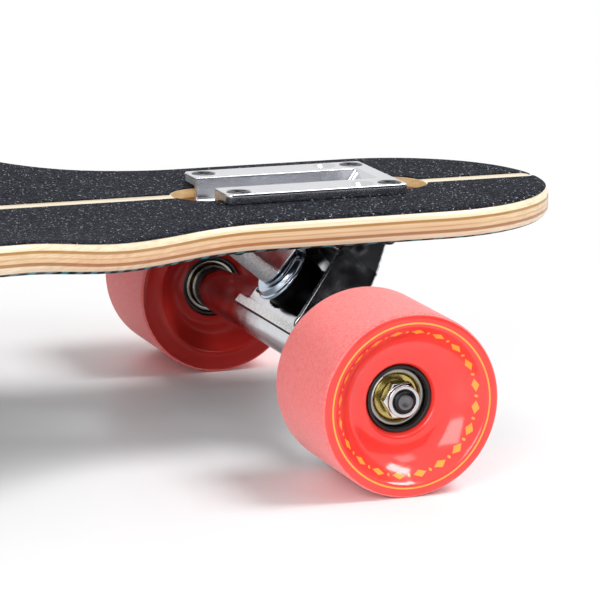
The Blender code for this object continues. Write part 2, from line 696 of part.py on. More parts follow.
def make_board_bushing():
    """Barrel bushing between the cup washer and the hanger."""
    middle = (BOARD_BUSHING_TOP + BOARD_BUSHING_BOTTOM) / 2
    radius = BOARD_BUSHING_RADIUS
    outline = [(KINGPIN_HOLE_RADIUS, BOARD_BUSHING_BOTTOM), (radius - 0.0008, BOARD_BUSHING_BOTTOM),
               (radius, BOARD_BUSHING_BOTTOM + 0.0010), (radius + BUSHING_BULGE, middle),
               (radius, BOARD_BUSHING_TOP - 0.0010), (radius - 0.0008, BOARD_BUSHING_TOP),
               (KINGPIN_HOLE_RADIUS, BOARD_BUSHING_TOP)]
    return turned(outline, TUBE_STEPS, closed=True)


def make_road_bushing():
    """Cone bushing between the hanger and the lower washer."""
    outline = [(KINGPIN_HOLE_RADIUS, ROAD_BUSHING_BOTTOM), (ROAD_BUSHING_END_RADIUS, ROAD_BUSHING_BOTTOM),
               (ROAD_BUSHING_RADIUS, ROAD_BUSHING_TOP - ROAD_BUSHING_HEIGHT / 3),
               (ROAD_BUSHING_RADIUS, ROAD_BUSHING_TOP - 0.0008),
               (ROAD_BUSHING_RADIUS - 0.0008, ROAD_BUSHING_TOP), (KINGPIN_HOLE_RADIUS, ROAD_BUSHING_TOP)]
    return turned(outline, TUBE_STEPS, closed=True)


def make_road_washer():
    return washer(KINGPIN_HOLE_RADIUS, ROAD_WASHER_RADIUS,
                  (ROAD_WASHER_BOTTOM, ROAD_WASHER_TOP), SMALL_STEPS)


def make_kingpin_nut():
    made = nut(KINGPIN_NUT_FLATS, (KINGPIN_NUT_BOTTOM, KINGPIN_NUT_TOP), NUT_CHAMFER)
    return bore_out(made, KINGPIN_HOLE_RADIUS, SMALL_STEPS)


def yoke_outline(inset, start, z):
    """The tray seen along the kingpin: left side from front to shoulder, then back on the right."""
    front = YOKE_FRONT + LIP_WIDTH
    left = [(start, YOKE_HALF_WIDTH - inset, z), (front, YOKE_HALF_WIDTH - inset, z),
            (YOKE_SHOULDER - inset, YOKE_SHOULDER_HALF_WIDTH - inset, z)]
    return left, [(x, -y, z) for x, y, z in reversed(left)]


def make_yoke():
    """Middle of the hanger: a block round the bushing that narrows to the pivot's neck."""
    left, right = yoke_outline(0.0, 0.0, YOKE_BOTTOM)
    end = [(HANGER_NECK_END, HANGER_NECK_HALF_WIDTH, YOKE_BOTTOM),
           (HANGER_NECK_END, -HANGER_NECK_HALF_WIDTH, YOKE_BOTTOM)]
    yoke = prism(left + end + right, Vector((0, 0, YOKE_TOP - YOKE_BOTTOM)))
    reach = YOKE_HALF_WIDTH + 0.01
    side = [(0.0, -TUBE_RADIUS + 0.001), (0.0, YOKE_FRONT_FOOT), (YOKE_FRONT, YOKE_FRONT_FOOT),
            (YOKE_FRONT, YOKE_TOP), (YOKE_SHOULDER, YOKE_TOP), (HANGER_NECK_END, HANGER_NECK_HALF_HEIGHT),
            (HANGER_NECK_END, -HANGER_NECK_HALF_HEIGHT), (YOKE_BOTTOM_END, YOKE_BOTTOM),
            (TUBE_RADIUS, YOKE_BOTTOM)]
    profile = prism([(x, -reach, z) for x, z in side], Vector((0, 2 * reach, 0)))
    combine(yoke, profile, "INTERSECT")
    return yoke


def make_hanger():
    hanger = along_y(cylinder(TUBE_RADIUS, (-HANGER_WIDTH / 2, HANGER_WIDTH / 2), TUBE_STEPS))
    wings = [(0.0, WING_HALF_LENGTH), (WING_TIP, WING_HALF_LENGTH), (WING_ROOT, YOKE_HALF_WIDTH),
             (WING_ROOT, -YOKE_HALF_WIDTH), (WING_TIP, -WING_HALF_LENGTH), (0.0, -WING_HALF_LENGTH)]
    wing = prism([(x, y, -WING_HALF_THICKNESS) for x, y in wings],
                 Vector((0, 0, 2 * WING_HALF_THICKNESS)))
    rib = box((RIB_START, RIB_START + RIB_WIDTH), (-RIB_HALF_LENGTH, RIB_HALF_LENGTH),
              (AXLE_RADIUS + 0.0015, TUBE_RADIUS + RIB_HEIGHT))
    pivot = along_x(turned([(0, YOKE_SHOULDER), (HANGER_NECK_RADIUS, YOKE_SHOULDER),
                            (HANGER_NECK_RADIUS, HANGER_NECK_END + 0.0005),
                            (PIVOT_RADIUS, HANGER_NECK_END + HANGER_NECK_STEP),
                            (PIVOT_RADIUS, PIVOT_TIP - PIVOT_TIP_ROUND),
                            (PIVOT_RADIUS - PIVOT_TIP_ROUND, PIVOT_TIP), (0, PIVOT_TIP)], TUBE_STEPS))
    add(hanger, wing, make_yoke(), pivot, rib)
    collar_start = HANGER_WIDTH / 2 - 0.001
    collar_end = HANGER_WIDTH / 2 + SPEED_RING_WIDTH - MESH_GAP / 2
    for side in (-1, 1):
        ends = sorted((side * collar_start, side * collar_end))
        add(hanger, along_y(cylinder(SPEED_RING_RADIUS, ends, TUBE_STEPS)))
    cut(hanger, *bushing_seats())
    cut(hanger, along_y(cylinder(AXLE_RADIUS + HOLE_CLEARANCE, (-0.12, 0.12), SMALL_STEPS)))
    return hanger


def bushing_seats():
    """Cutters for the tray with its round bushing seat, the lower cup and the ring's hole."""
    at_kingpin = Matrix.Translation((KINGPIN_FROM_AXLE, 0, 0))
    left, right = yoke_outline(YOKE_WALL, 0.0, RING_HALF_THICKNESS)
    half_arc = math.acos((KINGPIN_FROM_AXLE - YOKE_FRONT - LIP_WIDTH) / SEAT_RADIUS)
    arc = []
    for step in range(7):
        angle = math.pi + half_arc * (1 - step / 3)
        arc.append((KINGPIN_FROM_AXLE + SEAT_RADIUS * math.cos(angle),
                    SEAT_RADIUS * math.sin(angle), RING_HALF_THICKNESS))
    tray = prism(left[1:] + right[:-1] + arc, Vector((0, 0, 0.02)))
    lower = moved(cylinder(SEAT_RADIUS, (-0.03, -RING_HALF_THICKNESS), TUBE_STEPS), at_kingpin)
    hole = moved(cylinder(RING_HOLE_RADIUS, (-0.03, 0.03), SMALL_STEPS), at_kingpin)
    return tray, lower, hole


def make_axle():
    half = AXLE_LENGTH / 2
    return along_y(turned([(0, -half), (AXLE_RADIUS - AXLE_CHAMFER, -half),
                           (AXLE_RADIUS, -half + AXLE_CHAMFER), (AXLE_RADIUS, half - AXLE_CHAMFER),
                           (AXLE_RADIUS - AXLE_CHAMFER, half), (0, half)], SMALL_STEPS))


def make_pivot_cup():
    """Plastic socket for the hanger's pivot, closed at its far end."""
    outline = [(CUP_INNER_RADIUS, CUP_START), (CUP_OUTER_RADIUS, CUP_START), (CUP_OUTER_RADIUS, CUP_END),
               (0, CUP_END), (0, CUP_FLOOR_START), (CUP_INNER_RADIUS, CUP_FLOOR_START),
               (CUP_INNER_RADIUS, CUP_START)]
    return along_x(turned(outline, TUBE_STEPS))


# Wheel pieces, turned about Z. Z is the distance from the middle of the board.

def make_wheel():
    """Urethane tyre. Both faces are dished down to the core."""
    radius = WHEEL_RADIUS
    lip = WHEEL_LIP_RADIUS
    bore = HUB_RADIUS + MESH_GAP
    outer_rim = radius - lip - WHEEL_RIM_WIDTH
    inner_rim = radius - lip - WHEEL_INNER_RIM_WIDTH
    outer_floor = OUTER_BEARING_Y + BEARING_WIDTH + 0.0015
    inner_floor = INNER_BEARING_Y - 0.0010
    outline = [(bore, inner_floor), (bore + 0.0015, inner_floor),
               (inner_rim, WHEEL_INNER_Y), (radius - lip, WHEEL_INNER_Y), (radius, WHEEL_INNER_Y + lip),
               (radius, WHEEL_OUTER_Y - lip), (radius - lip, WHEEL_OUTER_Y), (outer_rim, WHEEL_OUTER_Y),
               (outer_rim - 0.0050, WHEEL_OUTER_Y - 0.0030), (bore + 0.0060, outer_floor + 0.0030),
               (bore + 0.0012, outer_floor), (bore, outer_floor)]
    return along_y(turned(outline, WHEEL_STEPS, closed=True))


def make_hub():
    """Black core that holds the two bearings apart."""
    start = INNER_BEARING_Y - 0.0006
    end = OUTER_BEARING_Y + BEARING_WIDTH + 0.0006
    rib_start = INNER_BEARING_Y + BEARING_WIDTH + MESH_GAP
    rib_end = OUTER_BEARING_Y - MESH_GAP
    rib = HUB_BORE_RADIUS - HUB_SHOULDER
    outline = [(HUB_BORE_RADIUS, start), (HUB_RADIUS, start), (HUB_RADIUS, end), (HUB_BORE_RADIUS, end),
               (HUB_BORE_RADIUS, rib_end), (rib, rib_end), (rib, rib_start), (HUB_BORE_RADIUS, rib_start)]
    return along_y(turned(outline, SMALL_STEPS, closed=True))


def make_bearing(face, back, sleeve_end):
    """Shielded ball bearing whose inner ring runs on as half of the spacer.

    The face is the side with the sunk shield, the back is the side inside the wheel.
    """
    bore = BEARING_BORE_RADIUS
    inner = bore + BEARING_RING_WALL
    outer = BEARING_RADIUS - BEARING_RING_WALL
    shield = face + math.copysign(BEARING_RECESS, back - face)
    outline = [(bore, face), (inner, face), (inner, shield), (outer, shield), (outer, face),
               (BEARING_RADIUS, face), (BEARING_RADIUS, back), (inner, back),
               (inner, sleeve_end), (bore, sleeve_end)]
    return along_y(turned(outline, SMALL_STEPS, closed=True))


def make_axle_nut():
    """Lock nut with the speed ring that sits between it and the bearing."""
    ring_start = OUTER_BEARING_Y + BEARING_WIDTH + MESH_GAP
    ring_end = ring_start + SPEED_RING_WIDTH
    made = nut(AXLE_NUT_FLATS, (ring_end, ring_end + AXLE_NUT_HEIGHT), NUT_CHAMFER)
    add(made, cylinder(SPEED_RING_RADIUS, (ring_start, ring_end + NUT_CHAMFER), SMALL_STEPS))
    return along_y(bore_out(made, AXLE_RADIUS + HOLE_CLEARANCE, SMALL_STEPS))


# Assembly

def place_truck(name, turn, materials, meshes):
    """Place one truck's pieces. Pieces that steer have their origin on the pivot line."""
    frame = bpy.data.objects.new(name + "_truck_frame", None)
    frame.matrix_world = truck_place(turn)
    bpy.context.scene.collection.objects.link(frame)
    ring = Matrix.Translation((RING_CENTRE, 0, 0))
    for piece, (mesh, material_name) in meshes["pivot"].items():
        thing = placed(name + "_" + piece, mesh, materials[material_name], frame)
        thing.matrix_local = PIVOT_FRAME @ ring
    baseplate = placed(name + "_baseplate", meshes["baseplate"], materials["polished"], frame)
    baseplate.matrix_local = Matrix.Identity(4)
    number = 0
    for x in SCREW_XS:
        for y in SCREW_YS:
            number += 1
            for piece, finish in (("deck_screw", "black_steel"), ("lock_nut", "black_steel")):
                thing = placed(f"{name}_{piece}_{number}", meshes[piece], materials[finish], frame)
                thing.matrix_local = Matrix.Translation((x, y, 0))
    for side, sign in (("left", 1), ("right", -1)):
        local_sign = sign if turn == 0 else -sign
        place_wheel(f"{name}_{side}", local_sign, materials, meshes["wheel"], frame)


def place_wheel(name, sign, materials, meshes, frame):
    """Place a wheel, its core, bearings and nut, with their origins on the axle."""
    flip = Matrix.Identity(4) if sign > 0 else Matrix.Rotation(math.pi, 4, "Z")
    for piece, (mesh, material_name) in meshes.items():
        thing = placed(f"{name}_{piece}", mesh, materials[material_name], frame)
        thing.matrix_local = Matrix.Translation((0, 0, AXLE_Z)) @ flip


def placed(name, mesh, finish, parent):
    thing = bpy.data.objects.new(name, mesh)
    if not mesh.materials:
        mesh.materials.append(finish)
    thing.parent = parent
    bpy.context.scene.collection.objects.link(thing)
    return thing


def mesh_of(thing):
    """Keep a maker's mesh and drop its object."""
    mesh = thing.data
    mesh.materials.clear()
    mesh.shade_smooth()
    mesh.set_sharp_from_angle(angle=math.radians(35))
    bpy.data.objects.remove(thing, do_unlink=True)
    return mesh


def truck_meshes():
    """Meshes of one truck. Pivot pieces are centred on the kingpin and the pivot line."""
    to_ring = Matrix.Translation((-RING_CENTRE, 0, 0))
    pivot = {"hanger": (mesh_of(moved(make_hanger(), to_ring)), "polished"),
             "axle": (mesh_of(moved(make_axle(), to_ring)), "steel"),
             "pivot_cup": (mesh_of(moved(make_pivot_cup(), to_ring)), "black_nylon"),
             "kingpin": (mesh_of(make_kingpin()), "steel"),
             "kingpin_nut": (mesh_of(make_kingpin_nut()), "steel"),
             "cup_washer": (mesh_of(make_cup_washer()), "zinc"),
             "road_washer": (mesh_of(make_road_washer()), "zinc"),
             "board_bushing": (mesh_of(make_board_bushing()), "black_urethane"),
             "road_bushing": (mesh_of(make_road_bushing()), "black_urethane")}
    inner_back = INNER_BEARING_Y + BEARING_WIDTH
    outer_face = OUTER_BEARING_Y + BEARING_WIDTH
    middle = (inner_back + OUTER_BEARING_Y) / 2
    half_gap = MESH_GAP / 2
    inner_bearing = make_bearing(INNER_BEARING_Y, inner_back, middle - half_gap)
    outer_bearing = make_bearing(outer_face, OUTER_BEARING_Y, middle + half_gap)
    wheel = {"wheel": (mesh_of(make_wheel()), "urethane"),
             "hub": (mesh_of(make_hub()), "black_nylon"),
             "inner_bearing": (mesh_of(inner_bearing), "bearing"),
             "outer_bearing": (mesh_of(outer_bearing), "bearing"),
             "axle_nut": (mesh_of(make_axle_nut()), "steel")}
    return {"pivot": pivot, "wheel": wheel, "baseplate": mesh_of(make_baseplate()),
            "deck_screw": mesh_of(make_screw()), "lock_nut": mesh_of(make_lock_nut())}


def make_longboard():
    empty_scene()
    materials = make_materials()
    placed("deck", mesh_of(make_deck()), materials["maple"], None)
    placed("grip_tape_left", mesh_of(make_grip(1)), materials["grip"], None)
    placed("grip_tape_right", mesh_of(make_grip(-1)), materials["grip"], None)
    meshes = truck_meshes()
    place_truck("front", 0, materials, meshes)
    place_truck("rear", math.pi, materials, meshes)
    bpy.context.view_layer.update()


make_longboard()
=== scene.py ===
# %% [markdown]
# # A drop-through longboard, dressed for its portrait
#
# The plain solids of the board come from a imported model, the frame. Every solid there has
# the right size and place, but few facets and flat colours. This notebook lays a finer piece
# over each of them: turned parts with soft edges, castings, a laminated deck and its finish.
# All lengths are in metres. X runs towards the nose, Y to the left, and Z up.

# %% Load the frame
import math

import bmesh
import bpy
from mathutils import Matrix, Vector


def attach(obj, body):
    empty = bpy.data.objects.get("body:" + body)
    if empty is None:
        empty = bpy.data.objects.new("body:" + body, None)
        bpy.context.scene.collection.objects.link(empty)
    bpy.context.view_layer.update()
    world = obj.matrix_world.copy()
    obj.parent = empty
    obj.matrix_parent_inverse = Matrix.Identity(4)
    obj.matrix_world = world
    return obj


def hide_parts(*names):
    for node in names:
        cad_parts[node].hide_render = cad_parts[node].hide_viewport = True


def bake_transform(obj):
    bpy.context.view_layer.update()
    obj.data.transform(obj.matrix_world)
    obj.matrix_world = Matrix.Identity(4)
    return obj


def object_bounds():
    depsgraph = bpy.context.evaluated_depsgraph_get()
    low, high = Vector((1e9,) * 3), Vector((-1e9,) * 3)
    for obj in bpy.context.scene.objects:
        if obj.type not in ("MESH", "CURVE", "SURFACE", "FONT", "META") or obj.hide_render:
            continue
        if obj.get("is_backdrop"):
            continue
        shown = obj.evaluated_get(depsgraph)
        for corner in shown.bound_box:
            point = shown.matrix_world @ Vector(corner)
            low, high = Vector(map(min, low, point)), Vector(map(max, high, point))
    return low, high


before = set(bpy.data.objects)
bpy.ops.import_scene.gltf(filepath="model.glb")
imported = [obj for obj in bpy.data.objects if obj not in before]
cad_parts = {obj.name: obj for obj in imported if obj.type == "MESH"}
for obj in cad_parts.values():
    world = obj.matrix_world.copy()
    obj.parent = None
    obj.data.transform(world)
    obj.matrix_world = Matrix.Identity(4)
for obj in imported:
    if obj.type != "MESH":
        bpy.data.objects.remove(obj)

plain_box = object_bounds()

# %% [markdown]
# ## The camera
#
# The camera comes first, because the picture's crop decides where detail pays. It stands low
# beside the board, with a long lens, and looks at the front truck. The lens is so long that
# the wheel looks nearly round and the deck tapers only a little. The three axes of the camera
# are worked out from its heading, its tilt and a small roll.

# %% Set up the camera
CAMERA_PLACE = Vector((-0.0866, -1.2927, 0.3553))
HEADING = math.radians(68.93)
TILT_DOWN = math.radians(12.532)
ROLL = math.radians(0.491)
LENS_MM, SENSOR_MM = 212.26, 36.0
NEAR_CLIP, FAR_CLIP = 0.05, 60.0


def placed(name, data):
    """Make an object from its data and put it in the scene."""
    made = bpy.data.objects.new(name, data)
    bpy.context.scene.collection.objects.link(made)
    return made


def make_camera():
    forward = Vector((math.cos(HEADING) * math.cos(TILT_DOWN),
                      math.sin(HEADING) * math.cos(TILT_DOWN), -math.sin(TILT_DOWN)))
    level = Vector((math.sin(HEADING), -math.cos(HEADING), 0))
    above = level.cross(forward)
    right = level * math.cos(ROLL) + above * math.sin(ROLL)
    up = above * math.cos(ROLL) - level * math.sin(ROLL)
    data = bpy.data.cameras.new("board_camera")
    data.lens, data.sensor_width = LENS_MM, SENSOR_MM
    data.clip_start, data.clip_end = NEAR_CLIP, FAR_CLIP
    camera = placed("board_camera", data)
    camera.matrix_world = Matrix.Translation(CAMERA_PLACE) @ Matrix(
        (right, up, -forward)).transposed().to_4x4()
    bpy.context.scene.camera = camera
    return camera


print("Camera lens:", make_camera().data.lens, "mm")

# %% [markdown]
# ## Mesh tools
#
# Most truck and wheel parts are turned or milled, so two makers do nearly all the work: one
# spins an outline round an axis, and one pushes a flat outline through a length. Real parts
# have no knife edges. A sharp corner in an outline is replaced by a small curve before it is
# spun, which costs a few vertices and catches a line of light, as a real edge does.

# %% Outlines
CORNER_STEPS = 3
SIDE_SHARE = 0.45


def softened(points, radius, closed=True, steps=CORNER_STEPS):
    """Round the corners of a flat outline. No curve takes more than a share of a side."""
    points = [Vector(point) for point in points]
    count = len(points)
    made = []
    for index, corner in enumerate(points):
        if not closed and index in (0, count - 1):
            made.append(corner)
            continue
        before = points[index - 1] - corner
        after = points[(index + 1) % count] - corner
        reach = min(radius, before.length * SIDE_SHARE, after.length * SIDE_SHARE)
        start = corner + before.normalized() * reach
        end = corner + after.normalized() * reach
        for step in range(steps + 1):
            share = step / steps
            made.append(start * (1 - share) ** 2 + corner * 2 * share * (1 - share)
                        + end * share ** 2)
    return made


def rectangle(left, right, low, high):
    return [(left, low), (right, low), (right, high), (left, high)]


def arc(middle, radius, start, sweep, steps):
    """Points of an arc whose middle lies on the X axis."""
    angles = [start + sweep * step / steps for step in range(steps + 1)]
    return [(middle + radius * math.cos(angle), radius * math.sin(angle)) for angle in angles]


def hexagon(corner_radius):
    return [(corner_radius * math.cos(i * math.pi / 3), corner_radius * math.sin(i * math.pi / 3))
            for i in range(6)]


print("A square with soft corners has", len(softened(rectangle(0, 1, 0, 1), 0.1)), "points")

# %% Turned solids
SHARP_ANGLE = math.radians(38)
SAME_PLACE = 1e-6


def keep_mesh(name, bm):
    """Turn a bmesh into a smooth-shaded mesh with sharp creases."""
    bmesh.ops.remove_doubles(bm, verts=bm.verts, dist=SAME_PLACE)
    bmesh.ops.recalc_face_normals(bm, faces=bm.faces)
    mesh = bpy.data.meshes.new(name)
    bm.to_mesh(mesh)
    bm.free()
    mesh.shade_smooth()
    mesh.set_sharp_from_angle(angle=SHARP_ANGLE)
    return mesh


def turned(name, outline, steps=64, closed=False):
    """Spin (radius, z) points about Z. An open outline starts and ends on the axis."""
    bm = bmesh.new()
    verts = [bm.verts.new((radius, 0, z)) for radius, z in outline]
    edges = [bm.edges.new(pair) for pair in zip(verts, verts[1:])]
    if closed:
        edges.append(bm.edges.new((verts[-1], verts[0])))
    bmesh.ops.spin(bm, geom=verts + edges, axis=(0, 0, 1), cent=(0, 0, 0),
                   angle=math.tau, steps=steps, use_merge=True)
    return keep_mesh(name, bm)


def soft_ring(name, outline, soft, steps, corner_steps=CORNER_STEPS):
    """Spin a closed outline with soft corners."""
    return turned(name, softened(outline, soft, steps=corner_steps), steps, closed=True)


def rod(radius, z_range, steps=48):
    low, high = z_range
    return turned("rod", [(0, low), (radius, low), (radius, high), (0, high)], steps)


print("A rod has", len(rod(0.01, (0, 1)).polygons), "faces")

# %% Pushed solids


def pushed(name, corners, vector):
    """Push a flat outline of 3-D corners along a vector."""
    bm = bmesh.new()
    face = bm.faces.new([bm.verts.new(corner) for corner in corners])
    grown = bmesh.ops.extrude_face_region(bm, geom=[face])["geom"]
    fresh = [item for item in grown if isinstance(item, bmesh.types.BMVert)]
    bmesh.ops.translate(bm, vec=vector, verts=fresh)
    return keep_mesh(name, bm)


def pushed_up(name, outline, low, height):
    """Push an (x, y) outline up from a level."""
    return pushed(name, [(x, y, low) for x, y in outline], Vector((0, 0, height)))


def pushed_across(name, outline, half):
    """Push an (x, z) outline from the right side of the middle to the left side."""
    return pushed(name, [(x, -half, z) for x, z in outline], Vector((0, 2 * half, 0)))


def bar(x_range, y_range, z_range):
    """A square-edged block between six limits, for use as a tool."""
    low, high = z_range
    return pushed_up("bar", rectangle(*x_range, *y_range), low, high - low)


print("A block has", len(bar((0, 1), (0, 1), (0, 1)).polygons), "faces")

# %% Moving a piece


def moved(mesh, matrix):
    mesh.transform(matrix)
    return mesh


def shift(x=0.0, y=0.0, z=0.0):
    return Matrix.Translation((x, y, z))


def along_x(mesh):
    """Lay a piece that was turned about Z along +X."""
    return moved(mesh, Matrix.Rotation(math.pi / 2, 4, "Y"))


def along_y(mesh):
    """Lay a piece that was turned about Z along +Y."""
    return moved(mesh, Matrix.Rotation(-math.pi / 2, 4, "X"))


lying = along_y(rod(0.01, (0, 1)))
print("Laid along Y, a rod ends at y =", round(max(vert.co.y for vert in lying.vertices), 3))

# %% [markdown]
# ## Adding and cutting solids
#
# A Boolean modifier joins two solids or cuts one from the other. It needs objects, so each
# mesh gets a short-lived one. The exact solver is used, because many of these faces meet at
# a slant and a fast solver leaves slivers.

# %% Boolean tools


def applied(thing):
    """The mesh of an object with its modifiers worked in."""
    graph = bpy.context.evaluated_depsgraph_get()
    return bpy.data.meshes.new_from_object(thing.evaluated_get(graph))


def combine(mesh, tool, operation):
    """Apply one Boolean and hand back the new mesh."""
    kept, other = placed("kept", mesh), placed("tool", tool)
    modifier = kept.modifiers.new(operation, "BOOLEAN")
    modifier.operation = operation
    modifier.solver = "EXACT"
    modifier.object = other
    result = applied(kept)
    bpy.data.objects.remove(kept)
    bpy.data.objects.remove(other)
    return result


def cut(mesh, *tools):
    for tool in tools:
        mesh = combine(mesh, tool, "DIFFERENCE")
    return mesh


def joined(mesh, *tools):
    for tool in tools:
        mesh = combine(mesh, tool, "UNION")
    return mesh


ring = cut(rod(0.02, (0, 0.01)), rod(0.01, (-0.1, 0.1)))
print("A rod with a hole has", len(ring.polygons), "faces")

# %% [markdown]
# ## Castings
#
# The hanger and the baseplate are cast and then polished, so their walls run into each other
# in small round hollows, and their edges are soft all over. A bevel would have to find every
# edge that the Booleans left. Another way is used: the solid is rebuilt from small cubes and
# then relaxed. Flat faces stay flat, and every edge and inner corner becomes round, as metal
# that has flowed into a mould. A last step merges the little squares that lie in one plane.

# %% Cast a solid
GRAIN = 0.00050
RELAX_TURNS, RELAX_SHARE = 5, 0.5
FLAT_ANGLE = math.radians(0.35)


def cast(name, mesh):
    thing = placed(name, mesh)
    rebuild = thing.modifiers.new("rebuild", "REMESH")
    rebuild.mode = "VOXEL"
    rebuild.voxel_size = GRAIN
    rebuild.use_smooth_shade = True
    relax = thing.modifiers.new("relax", "SMOOTH")
    relax.iterations, relax.factor = RELAX_TURNS, RELAX_SHARE
    merge = thing.modifiers.new("merge", "DECIMATE")
    merge.decimate_type = "DISSOLVE"
    merge.angle_limit = FLAT_ANGLE
    made = applied(thing)
    made.name = name
    made.shade_smooth()
    bpy.data.objects.remove(thing)
    return made


print("A cast ring has", len(cast("cast_ring", ring).polygons), "faces")

# %% [markdown]
# ## Node tools
#
# Every finish is made of shader nodes, so that its grain is sharp at any distance and no
# picture file is needed. These few helpers make a node, set or link its inputs, and hand back
# its output. Texture places come from the object's own coordinates, in metres, so a pattern
# stays on its piece when the piece moves. Each set of helpers is tried out on a small tree of
# nodes, which is thrown away at the end.

# %% Make a node


def add_node(tree, kind, inputs, **settings):
    """Make a node. An input that is an output socket is linked, and another is set."""
    made = tree.nodes.new("ShaderNode" + kind)
    for key, value in settings.items():
        setattr(made, key, value)
    for key, value in inputs.items():
        if isinstance(value, bpy.types.NodeSocket):
            tree.links.new(value, made.inputs[key])
        else:
            made.inputs[key].default_value = value
    return made


def maths(tree, operation, first, second=0.0, third=0.0):
    return add_node(tree, "Math", {0: first, 1: second, 2: third}, operation=operation).outputs[0]


def distance_from(tree, value, middle):
    return maths(tree, "ABSOLUTE", maths(tree, "SUBTRACT", value, middle))


def hypotenuse(tree, first, second):
    squares = [maths(tree, "MULTIPLY", side, side) for side in (first, second)]
    return maths(tree, "SQRT", maths(tree, "ADD", *squares))


trial = bpy.data.node_groups.new("trial", "ShaderNodeTree")
hypotenuse(trial, 3.0, 4.0)
print("The long side of a triangle takes", len(trial.nodes), "nodes")

# %% Places and noise


def own_place(tree):
    """The object's own coordinates."""
    return add_node(tree, "TexCoord", {}).outputs["Object"]


def own_axes(tree):
    """The same as three numbers: x, y and z."""
    return add_node(tree, "SeparateXYZ", {0: own_place(tree)}).outputs


def stretched(tree, scales):
    return add_node(tree, "Mapping", {"Vector": own_place(tree), "Scale": scales}).outputs[0]


def noise(tree, scale, detail=3.0, rough=0.5):
    """Cloudy noise. Three scales, one for each axis, draw it out into streaks."""
    if isinstance(scale, tuple):
        place, scale = stretched(tree, scale), 1.0
    else:
        place = own_place(tree)
    return add_node(tree, "TexNoise", {"Vector": place, "Scale": scale, "Detail": detail,
                                       "Roughness": rough}).outputs["Fac"]


noise(trial, (1, 1, 20))
print("With streaks of noise the trial has", len(trial.nodes), "nodes")

# %% Ranges, colours and bumps
NOISE_LOW, NOISE_HIGH = 0.3, 0.7


def spread(tree, value, low, high, to_low=0.0, to_high=1.0, kind="LINEAR"):
    """Map a value from one range to another."""
    return add_node(tree, "MapRange", {0: value, 1: low, 2: high, 3: to_low, 4: to_high},
                    interpolation_type=kind).outputs[0]


def varied(tree, value, to_low=0.0, to_high=1.0):
    """Map the range in which nearly all noise lies to another."""
    return spread(tree, value, NOISE_LOW, NOISE_HIGH, to_low, to_high)


def blended(tree, share, first, second, how="MIX"):
    """Mix two colours."""
    made = add_node(tree, "Mix", {0: share}, data_type="RGBA", blend_type=how)
    for index, colour in ((6, first), (7, second)):
        if isinstance(colour, bpy.types.NodeSocket):
            tree.links.new(colour, made.inputs[index])
        else:
            made.inputs[index].default_value = (*colour, 1.0)
    return made.outputs[2]


def bumped(tree, height, distance, strength=1.0):
    return add_node(tree, "Bump", {"Height": height, "Distance": distance,
                                   "Strength": strength}).outputs[0]


def ramp(tree, value, stops):
    """A colour ramp from (place, colour) pairs."""
    made = add_node(tree, "ValToRGB", {"Fac": value})
    band = made.color_ramp
    while len(band.elements) < len(stops):
        band.elements.new(0.5)
    for element, (place, colour) in zip(band.elements, stops):
        element.position = place
        element.color = (*colour, 1.0)
    return made.outputs[0]


ramp(trial, 0.5, [(0.0, (0, 0, 0)), (0.5, (0.5, 0.5, 0.5)), (1.0, (1, 1, 1))])
print("With a colour ramp the trial has", len(trial.nodes), "nodes")
bpy.data.node_groups.remove(trial)

# %% Start a finish


def finish(name, colour, roughness, metallic=0.0, **sockets):
    """A Principled material. Sockets are named with underscores for spaces."""
    made = bpy.data.materials.new(name)
    made.use_nodes = True
    shader = made.node_tree.nodes["Principled BSDF"]
    settings = {"Base Color": (*colour, 1.0), "Roughness": roughness, "Metallic": metallic}
    settings.update({key.replace("_", " "): value for key, value in sockets.items()})
    for key, value in settings.items():
        shader.inputs[key].default_value = value
    made.diffuse_color = (*colour, 1.0)
    return made


def wire(material, **links):
    """Link sockets to the shader of a finish."""
    shader = material.node_tree.nodes["Principled BSDF"]
    for key, socket in links.items():
        material.node_tree.links.new(socket, shader.inputs[key.replace("_", " ")])
    return material


def painted(mesh, *materials):
    for material in materials:
        mesh.materials.append(material)
    return mesh


def mark(mesh, rule, index=1):
    """Give another of the mesh's finishes to the faces that the rule picks."""
    picked = [face for face in mesh.polygons if rule(face)]
    for face in picked:
        face.material_index = index
    return len(picked)


print("Node tools are ready")

# %% [markdown]
# ## Places on the board
#
# The rear truck is the front one turned half round. So each truck part is made once, in the
# front truck's own frame, and placed twice. The kingpin and the pivot stand at a slant. They
# have a frame of their own, with x along the pivot line and z along the kingpin.

# %% Frames of the trucks
WHEELBASE = 0.812
AXLE_Z = 0.0350
BASEPLATE_ANGLE = math.radians(50.0)
KINGPIN_FROM_AXLE = 0.0171
HALF_TURN = Matrix.Rotation(math.pi, 4, "Z")
UPSIDE_DOWN = Matrix.Rotation(math.pi, 4, "X")
AS_BUILT = Matrix.Identity(4)
ENDS = {"front": shift(WHEELBASE / 2), "rear": HALF_TURN @ shift(WHEELBASE / 2)}
PIVOT_FRAME = shift(z=AXLE_Z) @ Matrix.Rotation(-BASEPLATE_ANGLE, 4, "Y")
KINGPIN_FRAME = PIVOT_FRAME @ shift(KINGPIN_FROM_AXLE)


def fit(name, mesh, place, body, node):
    """Put a piece in its place, on its body, instead of its plain solid."""
    piece = placed(name, mesh)
    piece.matrix_world = place
    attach(piece, body)
    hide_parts(node)
    return piece


def fit_both(part, mesh, place, on_hanger):
    """Put a truck part on both trucks."""
    for end, truck in ENDS.items():
        body = end + "_hanger" if on_hanger else "deck"
        fit(f"{end}_{part}_piece", mesh, truck @ place, body, f"{end}_{part}")
    print(part, "has", len(mesh.polygons), "faces")


print("The axles are", round(WHEELBASE * 1000), "mm apart")

